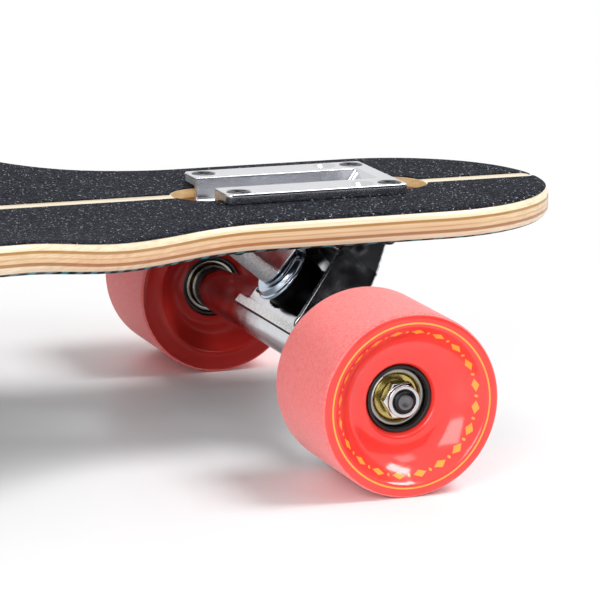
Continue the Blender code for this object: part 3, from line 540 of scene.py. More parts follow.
# %% [markdown]
# ## The deck's shape
#
# The deck is a symmetric drop-through: narrow necks between the wheels, then a flare to a
# wide standing area with a shallow concave, and a slight waist in the middle. Its outline is
# a formula, so it can be sampled as finely as the picture needs. The edge is a small quarter
# round above and below. Rings of vertices run round the outline, one for each level of the
# rounding, and rows across the board fill the top and the bottom.

# %% Sizes of the deck
DECK_LENGTH = 1.029
DECK_TOP_Z = 0.0926
DECK_THICKNESS = 0.0122
DECK_BOTTOM_Z = DECK_TOP_Z - DECK_THICKNESS
DECK_EDGE_RADIUS = 0.0038
WIDE_HALF_WIDTH = 0.1205
WAIST_DROP = 0.0050
NECK_HALF_WIDTH = 0.0580
NOSE_START = DECK_LENGTH / 2 - 0.0640
NECK_START = WHEELBASE / 2 - 0.030
FLARE_END = WHEELBASE / 2 - 0.168
CONCAVE_START = WHEELBASE / 2 - 0.062
CONCAVE_END = WHEELBASE / 2 - 0.144
CONCAVE_RADIUS = 0.620
print("The deck is", round(DECK_THICKNESS * 1000, 1), "mm thick")

# %% Width and rise of the deck


def half_width(x):
    distance = abs(x)
    if distance > NOSE_START:
        share = min(1.0, (distance - NOSE_START) / (DECK_LENGTH / 2 - NOSE_START))
        return NECK_HALF_WIDTH * math.sqrt(1 - share * share)
    if distance > NECK_START:
        return NECK_HALF_WIDTH
    if distance > FLARE_END:
        share = (NECK_START - distance) / (NECK_START - FLARE_END)
        swell = (1 - math.cos(math.pi * share)) / 2
        return NECK_HALF_WIDTH + (WIDE_HALF_WIDTH - NECK_HALF_WIDTH) * swell
    return WIDE_HALF_WIDTH - WAIST_DROP * (1 + math.cos(math.pi * distance / FLARE_END)) / 2


def rise(x, y):
    """How far the concave has lifted the surface above the middle line."""
    share = min(1.0, max(0.0, (CONCAVE_START - abs(x)) / (CONCAVE_START - CONCAVE_END)))
    return share * share * (3 - 2 * share) * y * y / (2 * CONCAVE_RADIUS)


print("The concave lifts the wide edge by", round(rise(0, half_width(0)) * 1000, 1), "mm")

# %% The deck's outline
WAIST_STEPS, FLARE_STEPS, NECK_STEPS, NOSE_STEPS = 16, 28, 8, 24


def outline_points():
    """Left half of the outline, from the tail's tip to the nose's tip."""
    places = []
    for start, end, steps in ((0.0, FLARE_END, WAIST_STEPS), (FLARE_END, NECK_START, FLARE_STEPS),
                              (NECK_START, NOSE_START, NECK_STEPS)):
        places += [start + (end - start) * i / steps for i in range(steps)]
    places += [NOSE_START + (DECK_LENGTH / 2 - NOSE_START) * math.sin(math.pi / 2 * i / NOSE_STEPS)
               for i in range(NOSE_STEPS + 1)]
    return [Vector((x, half_width(x))) for x in [-place for place in places[:0:-1]] + places]


def inset(points, distance):
    """Move the half outline in, square to its own direction."""
    made = [points[0] + Vector((distance, 0))]
    for before, point, after in zip(points, points[1:], points[2:]):
        along = (after - before).normalized()
        made.append(point + Vector((along.y, -along.x)) * distance)
    return made + [points[-1] - Vector((distance, 0))]


OUTLINE = outline_points()
print("Outline:", len(OUTLINE), "points, widest", round(max(p.y for p in OUTLINE) * 2000), "mm")

# %% Levels and rows of the deck
EDGE_STEPS = 6
DECK_COLUMNS = 10


def edge_levels():
    """(inset, depth) of each level from the top's rim round to the bottom's."""
    levels = []
    for step in range(EDGE_STEPS + 1):
        angle = math.pi / 2 * step / EDGE_STEPS
        levels.append((DECK_EDGE_RADIUS * (1 - math.sin(angle)),
                       DECK_EDGE_RADIUS * (1 - math.cos(angle))))
    return levels + [(across, DECK_THICKNESS - down) for across, down in reversed(levels)]


def deck_vert(bm, x, y, depth):
    return bm.verts.new((x, y, DECK_TOP_Z + rise(x, y) - depth))


def quads_between(bm, first, second):
    """A strip of faces between two rows of vertices."""
    for quad in zip(first, first[1:], second[1:], second):
        bm.faces.new(quad)


def fill_cap(bm, left, right, depth):
    """Rows of faces across the board, between the two sides of a ring."""
    rows = []
    for a, b in zip(left[1:-1], right):
        inner = [deck_vert(bm, a.co.x, a.co.y * (1 - 2 * i / DECK_COLUMNS), depth)
                 for i in range(1, DECK_COLUMNS)]
        rows.append([a] + inner + [b])
    for first, second in zip(rows, rows[1:]):
        quads_between(bm, first, second)
    for tip, row in ((left[0], rows[0]), (left[-1], rows[-1])):
        for pair in zip(row, row[1:]):
            bm.faces.new((tip, *pair))


print("The deck's edge has", len(edge_levels()), "levels")

# %% Build the deck


def deck_blank():
    bm = bmesh.new()
    rings = []
    for across, depth in edge_levels():
        points = inset(OUTLINE, across)
        left = [deck_vert(bm, p.x, p.y, depth) for p in points]
        right = [deck_vert(bm, p.x, -p.y, depth) for p in points[1:-1]]
        rings.append((left, right))
    for (left_a, right_a), (left_b, right_b) in zip(rings, rings[1:]):
        loop_a, loop_b = left_a + right_a[::-1], left_b + right_b[::-1]
        quads_between(bm, loop_a + loop_a[:1], loop_b + loop_b[:1])
    fill_cap(bm, *rings[0], 0.0)
    fill_cap(bm, *rings[-1], DECK_THICKNESS)
    return keep_mesh("deck", bm)


deck_mesh = deck_blank()
print("The deck's blank has", len(deck_mesh.polygons), "faces")

# %% [markdown]
# ## Cutouts and screw holes
#
# A drop-through truck hangs in a long slot, so the deck's own thickness shows in the slot's
# ends. The slots and the eight screw holes are cut with the Boolean tools. The grip tape gets
# the same holes later, a little wider.

# %% Cut the deck
CUTOUT_INNER, CUTOUT_OUTER, CUTOUT_HALF_WIDTH = -0.0485, 0.0585, 0.0145
SCREW_XS, SCREW_YS = (-0.0285, 0.0350), (-0.02065, 0.02065)
SCREW_PLACES = [(x, y) for x in SCREW_XS for y in SCREW_YS]
DRILL_LOW, DRILL_HIGH = 0.06, 0.12
DECK_HOLE_RADIUS = 0.0027


def slot_tool(margin):
    """The slot's shape, from under the deck to above it."""
    radius = CUTOUT_HALF_WIDTH + margin
    corners = arc(CUTOUT_OUTER - CUTOUT_HALF_WIDTH, radius, -math.pi / 2, math.pi, 20)
    corners += arc(CUTOUT_INNER + CUTOUT_HALF_WIDTH, radius, math.pi / 2, math.pi, 20)
    return pushed_up("slot", corners, DRILL_LOW, DRILL_HIGH - DRILL_LOW)


def truck_holes(mesh, margin, hole_radius):
    """Cut the slot and the four screw holes of each truck."""
    for truck in ENDS.values():
        mesh = cut(mesh, moved(slot_tool(margin), truck))
        for x, y in SCREW_PLACES:
            drill = moved(rod(hole_radius, (DRILL_LOW, DRILL_HIGH), 24), shift(x, y))
            mesh = cut(mesh, moved(drill, truck))
    mesh.set_sharp_from_angle(angle=SHARP_ANGLE)
    return mesh


deck_mesh = truck_holes(deck_mesh, 0.0, DECK_HOLE_RADIUS)
print("The cut deck has", len(deck_mesh.polygons), "faces")

# %% [markdown]
# ## Maple plies
#
# The side of the deck shows its plies: pale maple, with thin brown cross plies between. The
# finish finds the depth below the top surface for every point. It repeats the concave's
# formula in nodes, takes the point's height from it, and divides by the thickness. A ramp
# gives each depth its ply. Long streaks of noise give the grain, and a thin clear coat lies
# over it all. The underside is stained black, with slanting bars of teal and grey along its
# sides. Where the board narrows to its neck, the stain creeps a little way up the edge.

# %% Ply colours
PLIES = [(0.00, (0.94, 0.85, 0.66)), (0.27, (0.92, 0.81, 0.59)), (0.29, (0.42, 0.22, 0.060)),
         (0.36, (0.48, 0.28, 0.085)), (0.38, (0.80, 0.61, 0.38)), (0.48, (0.82, 0.62, 0.40)),
         (0.50, (0.66, 0.44, 0.25)), (0.53, (0.70, 0.48, 0.28)), (0.55, (0.80, 0.59, 0.37)),
         (0.63, (0.78, 0.57, 0.36)), (0.65, (0.38, 0.18, 0.07)), (0.73, (0.46, 0.24, 0.10)),
         (0.75, (0.88, 0.72, 0.52)), (1.00, (0.86, 0.72, 0.54))]
STREAK_BROWN, GRAIN_BROWN = (0.60, 0.40, 0.20), (0.72, 0.52, 0.30)
PLY_WOBBLE = 0.016
STAIN_DEPTH, STAIN_CREEP = 0.945, 0.075
CREEP_MIDDLE, CREEP_REACH = 0.340, 0.130
STAIN_BLACK = (0.012, 0.013, 0.015)
BAR_TEAL, BAR_GREY = (0.055, 0.205, 0.220), (0.115, 0.170, 0.190)
BAND_START, BAR_SPACING, BAR_SHARE, BAR_SLANT = 0.047, 0.0092, 0.44, 0.55
print("Maple ramp:", len(PLIES), "stops")

# %% Ply finishes


def ply_depth(tree):
    """Depth below the deck's top surface, from 0 to 1."""
    x, y, z = own_axes(tree)
    bend = spread(tree, maths(tree, "ABSOLUTE", x), CONCAVE_START, CONCAVE_END, kind="SMOOTHSTEP")
    lift = maths(tree, "MULTIPLY", maths(tree, "MULTIPLY", y, y), 1 / (2 * CONCAVE_RADIUS))
    height = maths(tree, "SUBTRACT", z, maths(tree, "MULTIPLY", lift, bend))
    return spread(tree, height, DECK_TOP_Z, DECK_BOTTOM_Z)


def underside(tree):
    """Two side bands of slanting bars on a black stain."""
    x, y, _ = own_axes(tree)
    along = maths(tree, "MULTIPLY_ADD", y, BAR_SLANT, x)
    turn = maths(tree, "FRACT", maths(tree, "MULTIPLY", along, 1 / BAR_SPACING))
    on_bar = maths(tree, "LESS_THAN", turn, BAR_SHARE)
    second = maths(tree, "FRACT", maths(tree, "MULTIPLY", along, 0.5 / BAR_SPACING))
    shade = blended(tree, maths(tree, "GREATER_THAN", second, 0.5), BAR_TEAL, BAR_GREY)
    side = maths(tree, "GREATER_THAN", maths(tree, "ABSOLUTE", y), BAND_START)
    return blended(tree, maths(tree, "MULTIPLY", on_bar, side), STAIN_BLACK, shade)


def ply_finish(name, tint, roughness):
    """Maple plies by depth. The tint darkens the slot's walls, which a cutter left rough: painted
    shade.
    """
    made = finish(name, (0.9, 0.76, 0.5), roughness, Coat_Weight=0.35, Coat_Roughness=0.12)
    tree = made.node_tree
    depth = ply_depth(tree)
    wobble = spread(tree, noise(tree, (18, 18, 90), 2.0), 0.0, 1.0, -PLY_WOBBLE, PLY_WOBBLE)
    plies = ramp(tree, maths(tree, "ADD", depth, wobble), PLIES)
    streaks = noise(tree, (26, 260, 1500), 4.0, 0.62)
    grain = noise(tree, (7, 420, 420), 3.0, 0.6)
    for share, colour in ((spread(tree, streaks, 0.35, 0.72, 0.0, 0.42), STREAK_BROWN),
                          (spread(tree, grain, 0.40, 0.75, 0.0, 0.30), GRAIN_BROWN), (1.0, tint)):
        plies = blended(tree, share, plies, colour, "MULTIPLY")
    from_neck = distance_from(tree, maths(tree, "ABSOLUTE", own_axes(tree)[0]), CREEP_MIDDLE)
    creep = spread(tree, from_neck, 0.0, CREEP_REACH, STAIN_CREEP, 0.0, kind="SMOOTHSTEP")
    stained = maths(tree, "GREATER_THAN", maths(tree, "ADD", depth, creep), STAIN_DEPTH)
    return wire(made, Base_Color=blended(tree, stained, plies, underside(tree)),
                Roughness=spread(tree, streaks, 0.3, 0.8, roughness - 0.08, roughness + 0.10),
                Normal=bumped(tree, streaks, 0.00012, 0.5))


maple = ply_finish("maple", (1.0, 1.0, 1.0), 0.42)
# The slot's walls get a darker tint, a painted shade in the slot.
shaded_slot_maple = ply_finish("slot_maple_painted_shade", (0.86, 0.66, 0.43), 0.60)
print("Maple finishes:", maple.name, shaded_slot_maple.name)

# %% Stain the underside and fit the deck
stain = finish("underside_stain", STAIN_BLACK, 0.75, Specular_IOR_Level=0.08)
tree = stain.node_tree
scuffs = noise(tree, (9, 300, 300), 4.0, 0.6)
wire(stain, Base_Color=underside(tree), Roughness=spread(tree, scuffs, 0.3, 0.75, 0.66, 0.84),
     Normal=bumped(tree, scuffs, 0.00005, 0.5))


def faces_down(face):
    return face.normal.z < -0.75


def in_cutout(face):
    return abs(face.normal.z) < 0.2 and abs(face.center.y) < NECK_HALF_WIDTH / 2


painted(deck_mesh, maple, stain, shaded_slot_maple)
print("Stain on", mark(deck_mesh, faces_down, 1), "faces, bare cut wood on",
      mark(deck_mesh, in_cutout, 2))
fit("deck_piece", deck_mesh, AS_BUILT, "deck", "deck")

# %% [markdown]
# ## Grip tape
#
# Grip tape is a thin black sheet of abrasive on each side of a bare stripe. It is wrapped a
# little way over the deck's edge and cut off there with a blade. Each half is built as a
# sheet that follows the concave, with a real thickness of half a millimetre, so the wood
# shows a crisp step. The grit is finer than any mesh, so it comes from the finish: small
# cells, each with its own darkness and tilt, and one or two in a hundred are painted light
# grey, a painted glint.

# %% Build a half of the grip tape
STRIPE_HALF_WIDTH = 0.0047
GRIP_LIFT, GRIP_THICKNESS = 0.00003, 0.0005
GRIP_SLOT_MARGIN, GRIP_HOLE_RADIUS = 0.0005, 0.0030
GRIP_COLUMNS = 8
WRAP_STEPS = 4
WRAP_ANGLE = math.radians(40)


def grip_rows(bm, side, lift):
    """Rows of vertices from the stripe out over the edge."""
    rows, wraps = [], []
    reach = DECK_EDGE_RADIUS + lift
    for step in range(1, WRAP_STEPS + 1):
        angle = WRAP_ANGLE * step / WRAP_STEPS
        across = DECK_EDGE_RADIUS - reach * math.sin(angle)
        wraps.append((inset(OUTLINE, across)[1:-1], DECK_EDGE_RADIUS - reach * math.cos(angle)))
    for index, point in enumerate(inset(OUTLINE, DECK_EDGE_RADIUS)[1:-1]):
        row = []
        for column in range(GRIP_COLUMNS + 1):
            y = STRIPE_HALF_WIDTH + (point.y - STRIPE_HALF_WIDTH) * column / GRIP_COLUMNS
            row.append((point.x, side * y, DECK_TOP_Z + rise(point.x, y) + lift))
        for points, down in wraps:
            x, y = points[index]
            row.append((x, side * y, DECK_TOP_Z + rise(x, y) - down))
        rows.append([bm.verts.new(place) for place in row])
    return rows


def grip_sheet(side):
    bm = bmesh.new()
    low = grip_rows(bm, side, GRIP_LIFT)
    high = grip_rows(bm, side, GRIP_LIFT + GRIP_THICKNESS)
    for rows in (low, high):
        for first, second in zip(rows, rows[1:]):
            quads_between(bm, first, second)
    for column in (0, -1):
        quads_between(bm, [row[column] for row in low], [row[column] for row in high])
    for row in (0, -1):
        quads_between(bm, low[row], high[row])
    return truck_holes(keep_mesh("grip", bm), GRIP_SLOT_MARGIN, GRIP_HOLE_RADIUS)


print("A row across the grip has", GRIP_COLUMNS + 1 + WRAP_STEPS, "points")

# %% The grit
GRIT_SIZE, SPARKLE_SIZE = 0.00042, 0.00052
CLUMP_SHARE = 0.55
PAINTED_GLINT_LIMIT, PAINTED_GLINT_GREY = 0.984, (0.48, 0.50, 0.54)
DUST_GREY = (0.055, 0.058, 0.066)
GRIT_GREYS = [(0.0, (0.001, 0.0011, 0.0015)), (0.55, (0.008, 0.009, 0.013)),
              (0.85, (0.032, 0.035, 0.049)), (1.0, (0.13, 0.14, 0.165))]
CLUMP_GREYS = [(0.0, (0.001, 0.0011, 0.0015)), (0.6, (0.010, 0.011, 0.016)),
               (0.85, (0.034, 0.037, 0.049)), (1.0, (0.16, 0.17, 0.20))]


def grit_cells(tree, size):
    """Little cells, and three random numbers for each."""
    cells = add_node(tree, "TexVoronoi", {"Vector": own_place(tree), "Scale": 1 / size}).outputs
    return cells, add_node(tree, "SeparateColor", {0: cells["Color"]}).outputs


grip = finish("grit", (0.02, 0.021, 0.026), 0.85, Specular_IOR_Level=0.03)
tree = grip.node_tree
cells, lottery = grit_cells(tree, GRIT_SIZE)
_, clump = grit_cells(tree, SPARKLE_SIZE)
grey = blended(tree, CLUMP_SHARE, ramp(tree, lottery[0], GRIT_GREYS),
               ramp(tree, clump[0], CLUMP_GREYS))
# Painted glint: one or two clump cells in a hundred get a light grey colour.
grey = blended(tree, maths(tree, "GREATER_THAN", clump[1], PAINTED_GLINT_LIMIT), grey, PAINTED_GLINT_GREY)
dust = noise(tree, (40, 40, 40), 4.0, 0.6)
grey = blended(tree, spread(tree, dust, 0.4, 0.8, 0.0, 0.08), grey, DUST_GREY)
grains = maths(tree, "ADD", maths(tree, "SUBTRACT", 1.0, cells["Distance"]), lottery[2])
wire(grip, Base_Color=grey, Roughness=spread(tree, lottery[1], 0.0, 1.0, 0.9, 0.55),
     Normal=bumped(tree, grains, 0.00018, 0.7))
for half, side in (("left", 1), ("right", -1)):
    sheet = painted(grip_sheet(side), grip)
    fit(f"grip_tape_{half}_piece", sheet, AS_BUILT, "deck", f"grip_tape_{half}")
    print("Grip tape,", half, "half:", len(sheet.polygons), "faces")

# %% [markdown]
# ## Polished and cast metal
#
# The trucks are aluminium. Where the polishing wheel reached they are mirror-like, with fine
# haze and a slight wave that bends reflections. Where it didn't, the casting's skin is left,
# dull and finely pitted. It is light grey round the boss. On the rib it is painted almost
# white, a painted highlight for the light the rib catches. In the hanger's tray, on its rim,
# on the slope behind it and beside the rib, the metal is painted dark: painted shade and dark
# reflection. So a casting gets several finishes, and a rule picks the faces for each of them.

# %% Aluminium finishes
SPECK_DARK, SPECK_LIGHT = 0.78, 1.15


def polished_metal(name, colour, low, high, wave=0.00004):
    made = finish(name, colour, (low + high) / 2, 1.0)
    tree = made.node_tree
    haze = noise(tree, 130.0, 5.0, 0.6)
    height = maths(tree, "MULTIPLY_ADD", noise(tree, (90, 900, 900), 2.0), 0.06,
                   noise(tree, 60.0, 1.0))
    return wire(made, Roughness=varied(tree, haze, low, high),
                Normal=bumped(tree, height, wave))


def cast_metal(name, colour, roughness):
    made = finish(name, colour, roughness, 1.0)
    tree = made.node_tree
    pits = noise(tree, 1500.0, 4.0, 0.6)
    specks = spread(tree, noise(tree, 1300.0, 4.0, 0.7), 0.40, 0.62)
    dark = tuple(part * SPECK_DARK for part in colour)
    light = tuple(min(1.0, part * SPECK_LIGHT) for part in colour)
    return wire(made, Base_Color=blended(tree, specks, dark, light),
                Roughness=varied(tree, pits, roughness - 0.1, roughness + 0.1),
                Normal=bumped(tree, pits, 0.00007, 0.5))


polished = polished_metal("polished_aluminium", (0.65, 0.655, 0.685), 0.10, 0.24)
skin = cast_metal("casting_skin", (0.60, 0.60, 0.61), 0.46)
# The rib's skin is painted almost white, a painted highlight for the light it catches.
rib_skin_painted_light = cast_metal("rib_skin_painted_light", (0.92, 0.92, 0.93), 0.34)
print("Aluminium:", polished.name, skin.name, rib_skin_painted_light.name)

# %% Painted shade beside a lit polished strip
LIT_STRIP_START, LIT_STRIP_END, SHADE_FADE, SHADE_EDGE_WOBBLE = 0.0040, 0.0108, 0.0006, 0.0012
LIT_STRIP_LOOKS = {"Base Color": (0.66, 0.66, 0.71), "Roughness": (0.16, 0.16, 0.16)}


def painted_shade_metal():
    """Painted shade on the casting, which gives way to plain polish on a strip beside the rib."""
    made = cast_metal("hanger_painted_shade", (0.030, 0.030, 0.033), 0.50)
    tree = made.node_tree
    along = own_axes(tree)[0]
    # Painted shade: dark beyond the lit strip, with a wobbling edge, and dark before its start.
    wobble = varied(tree, noise(tree, 260.0, 2.0), -SHADE_EDGE_WOBBLE, SHADE_EDGE_WOBBLE)
    dark = spread(tree, maths(tree, "ADD", along, wobble), LIT_STRIP_END,
                  LIT_STRIP_END + SHADE_FADE)
    dark = maths(tree, "MAXIMUM", dark, maths(tree, "LESS_THAN", along, LIT_STRIP_START))
    shader = tree.nodes["Principled BSDF"]
    for key, shiny in LIT_STRIP_LOOKS.items():
        dull = shader.inputs[key].links[0].from_socket
        tree.links.new(blended(tree, dark, shiny, dull), shader.inputs[key])
    return made


hanger_painted_shade = painted_shade_metal()
print("The strip is polished for", round((LIT_STRIP_END - LIT_STRIP_START) * 1000, 1), "mm")

# %% [markdown]
# ## The baseplate
#
# The baseplate is one casting. A flat flange lies on the deck, with a trough down its middle
# that leads to the kingpin's head. Under it a boss stands out at a slant and carries the
# kingpin, and at the outer end a round housing holds the pivot. Solids are added and cut in
# the order a pattern maker would think of them, and the whole is then cast.

# %% Sizes of the baseplate
PLATE_INNER, PLATE_OUTER, PLATE_HALF_WIDTH = -0.0350, 0.0408, 0.0267
PLATE_BOTTOM_Z, PLATE_TOP_Z = DECK_TOP_Z + 0.00055, 0.0975
PLATE_CORNER = 0.0024
BODY_HALF_WIDTH = 0.0132
BOSS_RADIUS, BOSS_SEAT, BOSS_RUN = 0.0079, 0.0212, 0.060
POCKET_HALF_WIDTH, POCKET_OUTER, POCKET_RUN, POCKET_DEPTH = 0.0110, 0.0340, 0.0066, 0.0095
CUP_START, CUP_END, CUP_OUTER_RADIUS = 0.0573, 0.0659, 0.0092
HOUSING_START, HOUSING_END = CUP_START - 0.006, 0.0680
HOUSING_RADIUS, HOUSING_TOP_Z = 0.0117, 0.0880
KINGPIN_RADIUS, KINGPIN_HEAD_SEAT, KINGPIN_HEAD_ROOM = 0.00476, 0.0420, 0.0067
NECK_ROOM_RADIUS, YOKE_SHOULDER = 0.0131, 0.0390
SCREW_HOLE_RADIUS, SCREW_SINK_RADIUS = 0.0027, 0.0051
SPARE_HOLE_X, SPARE_SINK_RADIUS = 0.0235, 0.0048
OVERLAP = 0.0005
print("The flange is", round((PLATE_OUTER - PLATE_INNER) * 1000, 1), "mm long")

# %% Metal of the baseplate


def flange():
    """The plate, and the body that drops into the slot."""
    outline = rectangle(PLATE_INNER, PLATE_OUTER, -PLATE_HALF_WIDTH, PLATE_HALF_WIDTH)
    plate = pushed_up("flange", softened(outline, PLATE_CORNER, steps=5), PLATE_BOTTOM_Z,
                      PLATE_TOP_Z - PLATE_BOTTOM_Z)
    return joined(plate, bar((PLATE_INNER, PLATE_OUTER), (-BODY_HALF_WIDTH, BODY_HALF_WIDTH),
                             (DECK_BOTTOM_Z, PLATE_BOTTOM_Z + 0.001)))


def boss():
    """Round below and flat on both sides, up to the plate."""
    outline = arc(KINGPIN_FROM_AXLE, BOSS_RADIUS, math.pi / 2, math.pi, 24)
    outline += [(KINGPIN_FROM_AXLE + BOSS_RUN, -BOSS_RADIUS),
                (KINGPIN_FROM_AXLE + BOSS_RUN, BOSS_RADIUS)]
    made = moved(pushed_up("boss", outline, BOSS_SEAT, BOSS_RUN), PIVOT_FRAME)
    limits = bar((PLATE_INNER + OVERLAP, PLATE_OUTER - 0.002), (-0.02, 0.02),
                 (0.04, PLATE_BOTTOM_Z + OVERLAP))
    return combine(made, limits, "INTERSECT")


def housing():
    made = moved(along_x(rod(HOUSING_RADIUS, (HOUSING_START, HOUSING_END), 64)), PIVOT_FRAME)
    return cut(made, bar((PLATE_OUTER - 0.002, 0.08), (-0.02, 0.02), (HOUSING_TOP_Z, 0.12)),
               bar((0.0, 0.08), (-0.02, 0.02), (PLATE_TOP_Z - OVERLAP, 0.12)))


print("The boss is", round(BOSS_RADIUS * 2000, 1), "mm thick")

# %% Cutters for the baseplate


def trough():
    floor_z, lift, end = PLATE_TOP_Z - POCKET_DEPTH, 0.004, PLATE_INNER - 0.002
    outline = [(end, floor_z), (POCKET_OUTER - POCKET_RUN, floor_z),
               (POCKET_OUTER + POCKET_RUN / POCKET_DEPTH * lift, PLATE_TOP_Z + lift),
               (end, PLATE_TOP_Z + lift)]
    return pushed_across("trough", outline, POCKET_HALF_WIDTH)


def sunk_hole(x, y, head):
    """A screw hole with its countersink."""
    hole, start, top = SCREW_HOLE_RADIUS, PLATE_BOTTOM_Z - 0.02, PLATE_TOP_Z + 0.001
    outline = [(0, start), (hole, start), (hole, PLATE_TOP_Z - (head - hole)),
               (head + 0.001, top), (0, top)]
    return moved(turned("sink", outline, 32), shift(x, y))


def neck_room():
    """Room for the hanger's neck to swing, and the bore of the pivot cup."""
    bore = CUP_START - 0.0003
    outline = [(0, YOKE_SHOULDER), (NECK_ROOM_RADIUS, YOKE_SHOULDER), (NECK_ROOM_RADIUS, bore),
               (CUP_OUTER_RADIUS, bore), (CUP_OUTER_RADIUS, CUP_END), (0, CUP_END)]
    return moved(along_x(turned("room", outline, 64)), PIVOT_FRAME)


print("The trough is", round(POCKET_HALF_WIDTH * 2000, 1), "mm wide")

# %% Cast the baseplate


def baseplate():
    head_room = rod(KINGPIN_HEAD_ROOM, (KINGPIN_HEAD_SEAT, 0.100))
    shank_room = rod(KINGPIN_RADIUS + 0.0003, (0.01, KINGPIN_HEAD_SEAT + 0.005))
    solid = cut(joined(flange(), boss(), housing()), neck_room(), trough(),
                moved(head_room, KINGPIN_FRAME), moved(shank_room, KINGPIN_FRAME))
    for y in SCREW_YS:
        for x in SCREW_XS:
            solid = cut(solid, sunk_hole(x, y, SCREW_SINK_RADIUS))
        solid = cut(solid, sunk_hole(SPARE_HOLE_X, y, SPARE_SINK_RADIUS))
    return cast("baseplate", solid)


TO_PIVOT = PIVOT_FRAME.inverted()


def unpolished(face):
    """True on the boss's round side, the trough's floor, and the end wall in the slot."""
    x, _, z = face.center
    if z < PLATE_BOTTOM_Z - 0.0004 and x < PLATE_INNER + 0.003:
        return True
    if face.normal.z > 0.7 and z < PLATE_TOP_Z - POCKET_DEPTH + 0.0006:
        return True
    seen_from_pivot = TO_PIVOT @ face.center
    return (z < DECK_BOTTOM_Z - 0.0005 and abs(face.normal.y) < 0.975
            and seen_from_pivot.z > BOSS_SEAT + 0.0008
            and seen_from_pivot.x < KINGPIN_FROM_AXLE + 0.002)


baseplate_mesh = painted(baseplate(), polished, skin)
print("Casting skin on", mark(baseplate_mesh, unpolished), "faces")
fit_both("baseplate", baseplate_mesh, AS_BUILT, False)

# %% [markdown]
# ## The hanger
#
# The hanger is the part that steers: a tube for the axle, wings that run out along it, a
# tray round the lower bushing, and a neck that ends in the pivot. It is cast as well. It is
# built in the pivot's frame, where nearly all its walls are square to an axis.

# %% Sizes of the hanger
HANGER_WIDTH, TUBE_RADIUS = 0.1800, 0.0091
COLLAR_RADIUS, COLLAR_REACH = 0.0062, 0.0007
YOKE_FRONT, YOKE_HALF_WIDTH, YOKE_SHOULDER_HALF_WIDTH = 0.0028, 0.0260, 0.0180
YOKE_TOP, YOKE_BOTTOM, YOKE_WALL, LIP_WIDTH = 0.0114, -0.0096, 0.0021, 0.0033
YOKE_FRONT_TOP, YOKE_SLOPE_START = 0.0080, 0.0320
WING_END, WING_TIP_X, WING_ROOT_X, WING_HALF_HEIGHT = 0.0700, 0.0088, 0.0148, 0.0048
RING_HALF_THICKNESS, SEAT_RADIUS, RING_BORE_RADIUS = 0.0045, 0.0127, 0.0070
NECK_END, NECK_END_HALF_WIDTH, NECK_END_HALF_HEIGHT = 0.0530, 0.0102, 0.0064
STEM_RADIUS, PIVOT_START, PIVOT_RADIUS = 0.0108, 0.0560, 0.0068
PIVOT_TAPER_START, PIVOT_END, PIVOT_END_RADIUS = 0.0613, 0.0638, 0.0043
RIB_START, RIB_WIDTH, RIB_HEIGHT, RIB_HALF_LENGTH = -0.0016, 0.0039, 0.0019, 0.0360
AXLE_RADIUS = 0.0040
print("The tube is", round(TUBE_RADIUS * 2000, 1), "mm thick")

# %% Parts of the hanger


def both_sides(outline):
    """An outline's left half, followed by its mirror image."""
    return outline + [(x, -y) for x, y in reversed(outline)]


def yoke():
    outline = both_sides([(0.0, YOKE_HALF_WIDTH), (YOKE_FRONT + LIP_WIDTH, YOKE_HALF_WIDTH),
                          (YOKE_SHOULDER, YOKE_SHOULDER_HALF_WIDTH),
                          (NECK_END, NECK_END_HALF_WIDTH)])
    side = [(0.0, -TUBE_RADIUS + 0.001), (0.0, YOKE_FRONT_TOP), (YOKE_FRONT, YOKE_FRONT_TOP),
            (YOKE_FRONT, YOKE_TOP), (YOKE_SHOULDER, YOKE_TOP), (NECK_END, NECK_END_HALF_HEIGHT),
            (NECK_END, -NECK_END_HALF_HEIGHT), (YOKE_SLOPE_START, YOKE_BOTTOM),
            (TUBE_RADIUS, YOKE_BOTTOM)]
    return combine(pushed_up("yoke", outline, YOKE_BOTTOM, YOKE_TOP - YOKE_BOTTOM),
                   pushed_across("profile", side, 0.04), "INTERSECT")


def wings():
    outline = both_sides([(0.0, WING_END), (WING_TIP_X, WING_END), (WING_ROOT_X, YOKE_HALF_WIDTH)])
    return pushed_up("wings", outline, -WING_HALF_HEIGHT, 2 * WING_HALF_HEIGHT)


def pivot_stem():
    outline = [(0, YOKE_SHOULDER), (STEM_RADIUS, YOKE_SHOULDER), (STEM_RADIUS, NECK_END + OVERLAP),
               (PIVOT_RADIUS, PIVOT_START), (PIVOT_RADIUS, PIVOT_TAPER_START),
               (PIVOT_END_RADIUS, PIVOT_END), (0, PIVOT_END)]
    return along_x(turned("stem", softened(outline, 0.0012, closed=False), 64))


def tray_tools():
    """Cutters for the tray, the lower cup, and the hole round the kingpin."""
    start = YOKE_FRONT + LIP_WIDTH
    outline = both_sides([(start, YOKE_HALF_WIDTH - YOKE_WALL),
                          (YOKE_SHOULDER - YOKE_WALL, YOKE_SHOULDER_HALF_WIDTH - YOKE_WALL)])
    half_arc = math.acos((KINGPIN_FROM_AXLE - start) / SEAT_RADIUS)
    outline += arc(KINGPIN_FROM_AXLE, SEAT_RADIUS, math.pi + half_arc, -2 * half_arc, 16)
    at_kingpin = shift(KINGPIN_FROM_AXLE)
    return (pushed_up("tray", outline, RING_HALF_THICKNESS, 0.02),
            moved(rod(SEAT_RADIUS, (-0.03, -RING_HALF_THICKNESS)), at_kingpin),
            moved(rod(RING_BORE_RADIUS, (-0.03, 0.03)), at_kingpin))


print("The wings span", round(WING_END * 2000), "mm")

# %% Cast the hanger


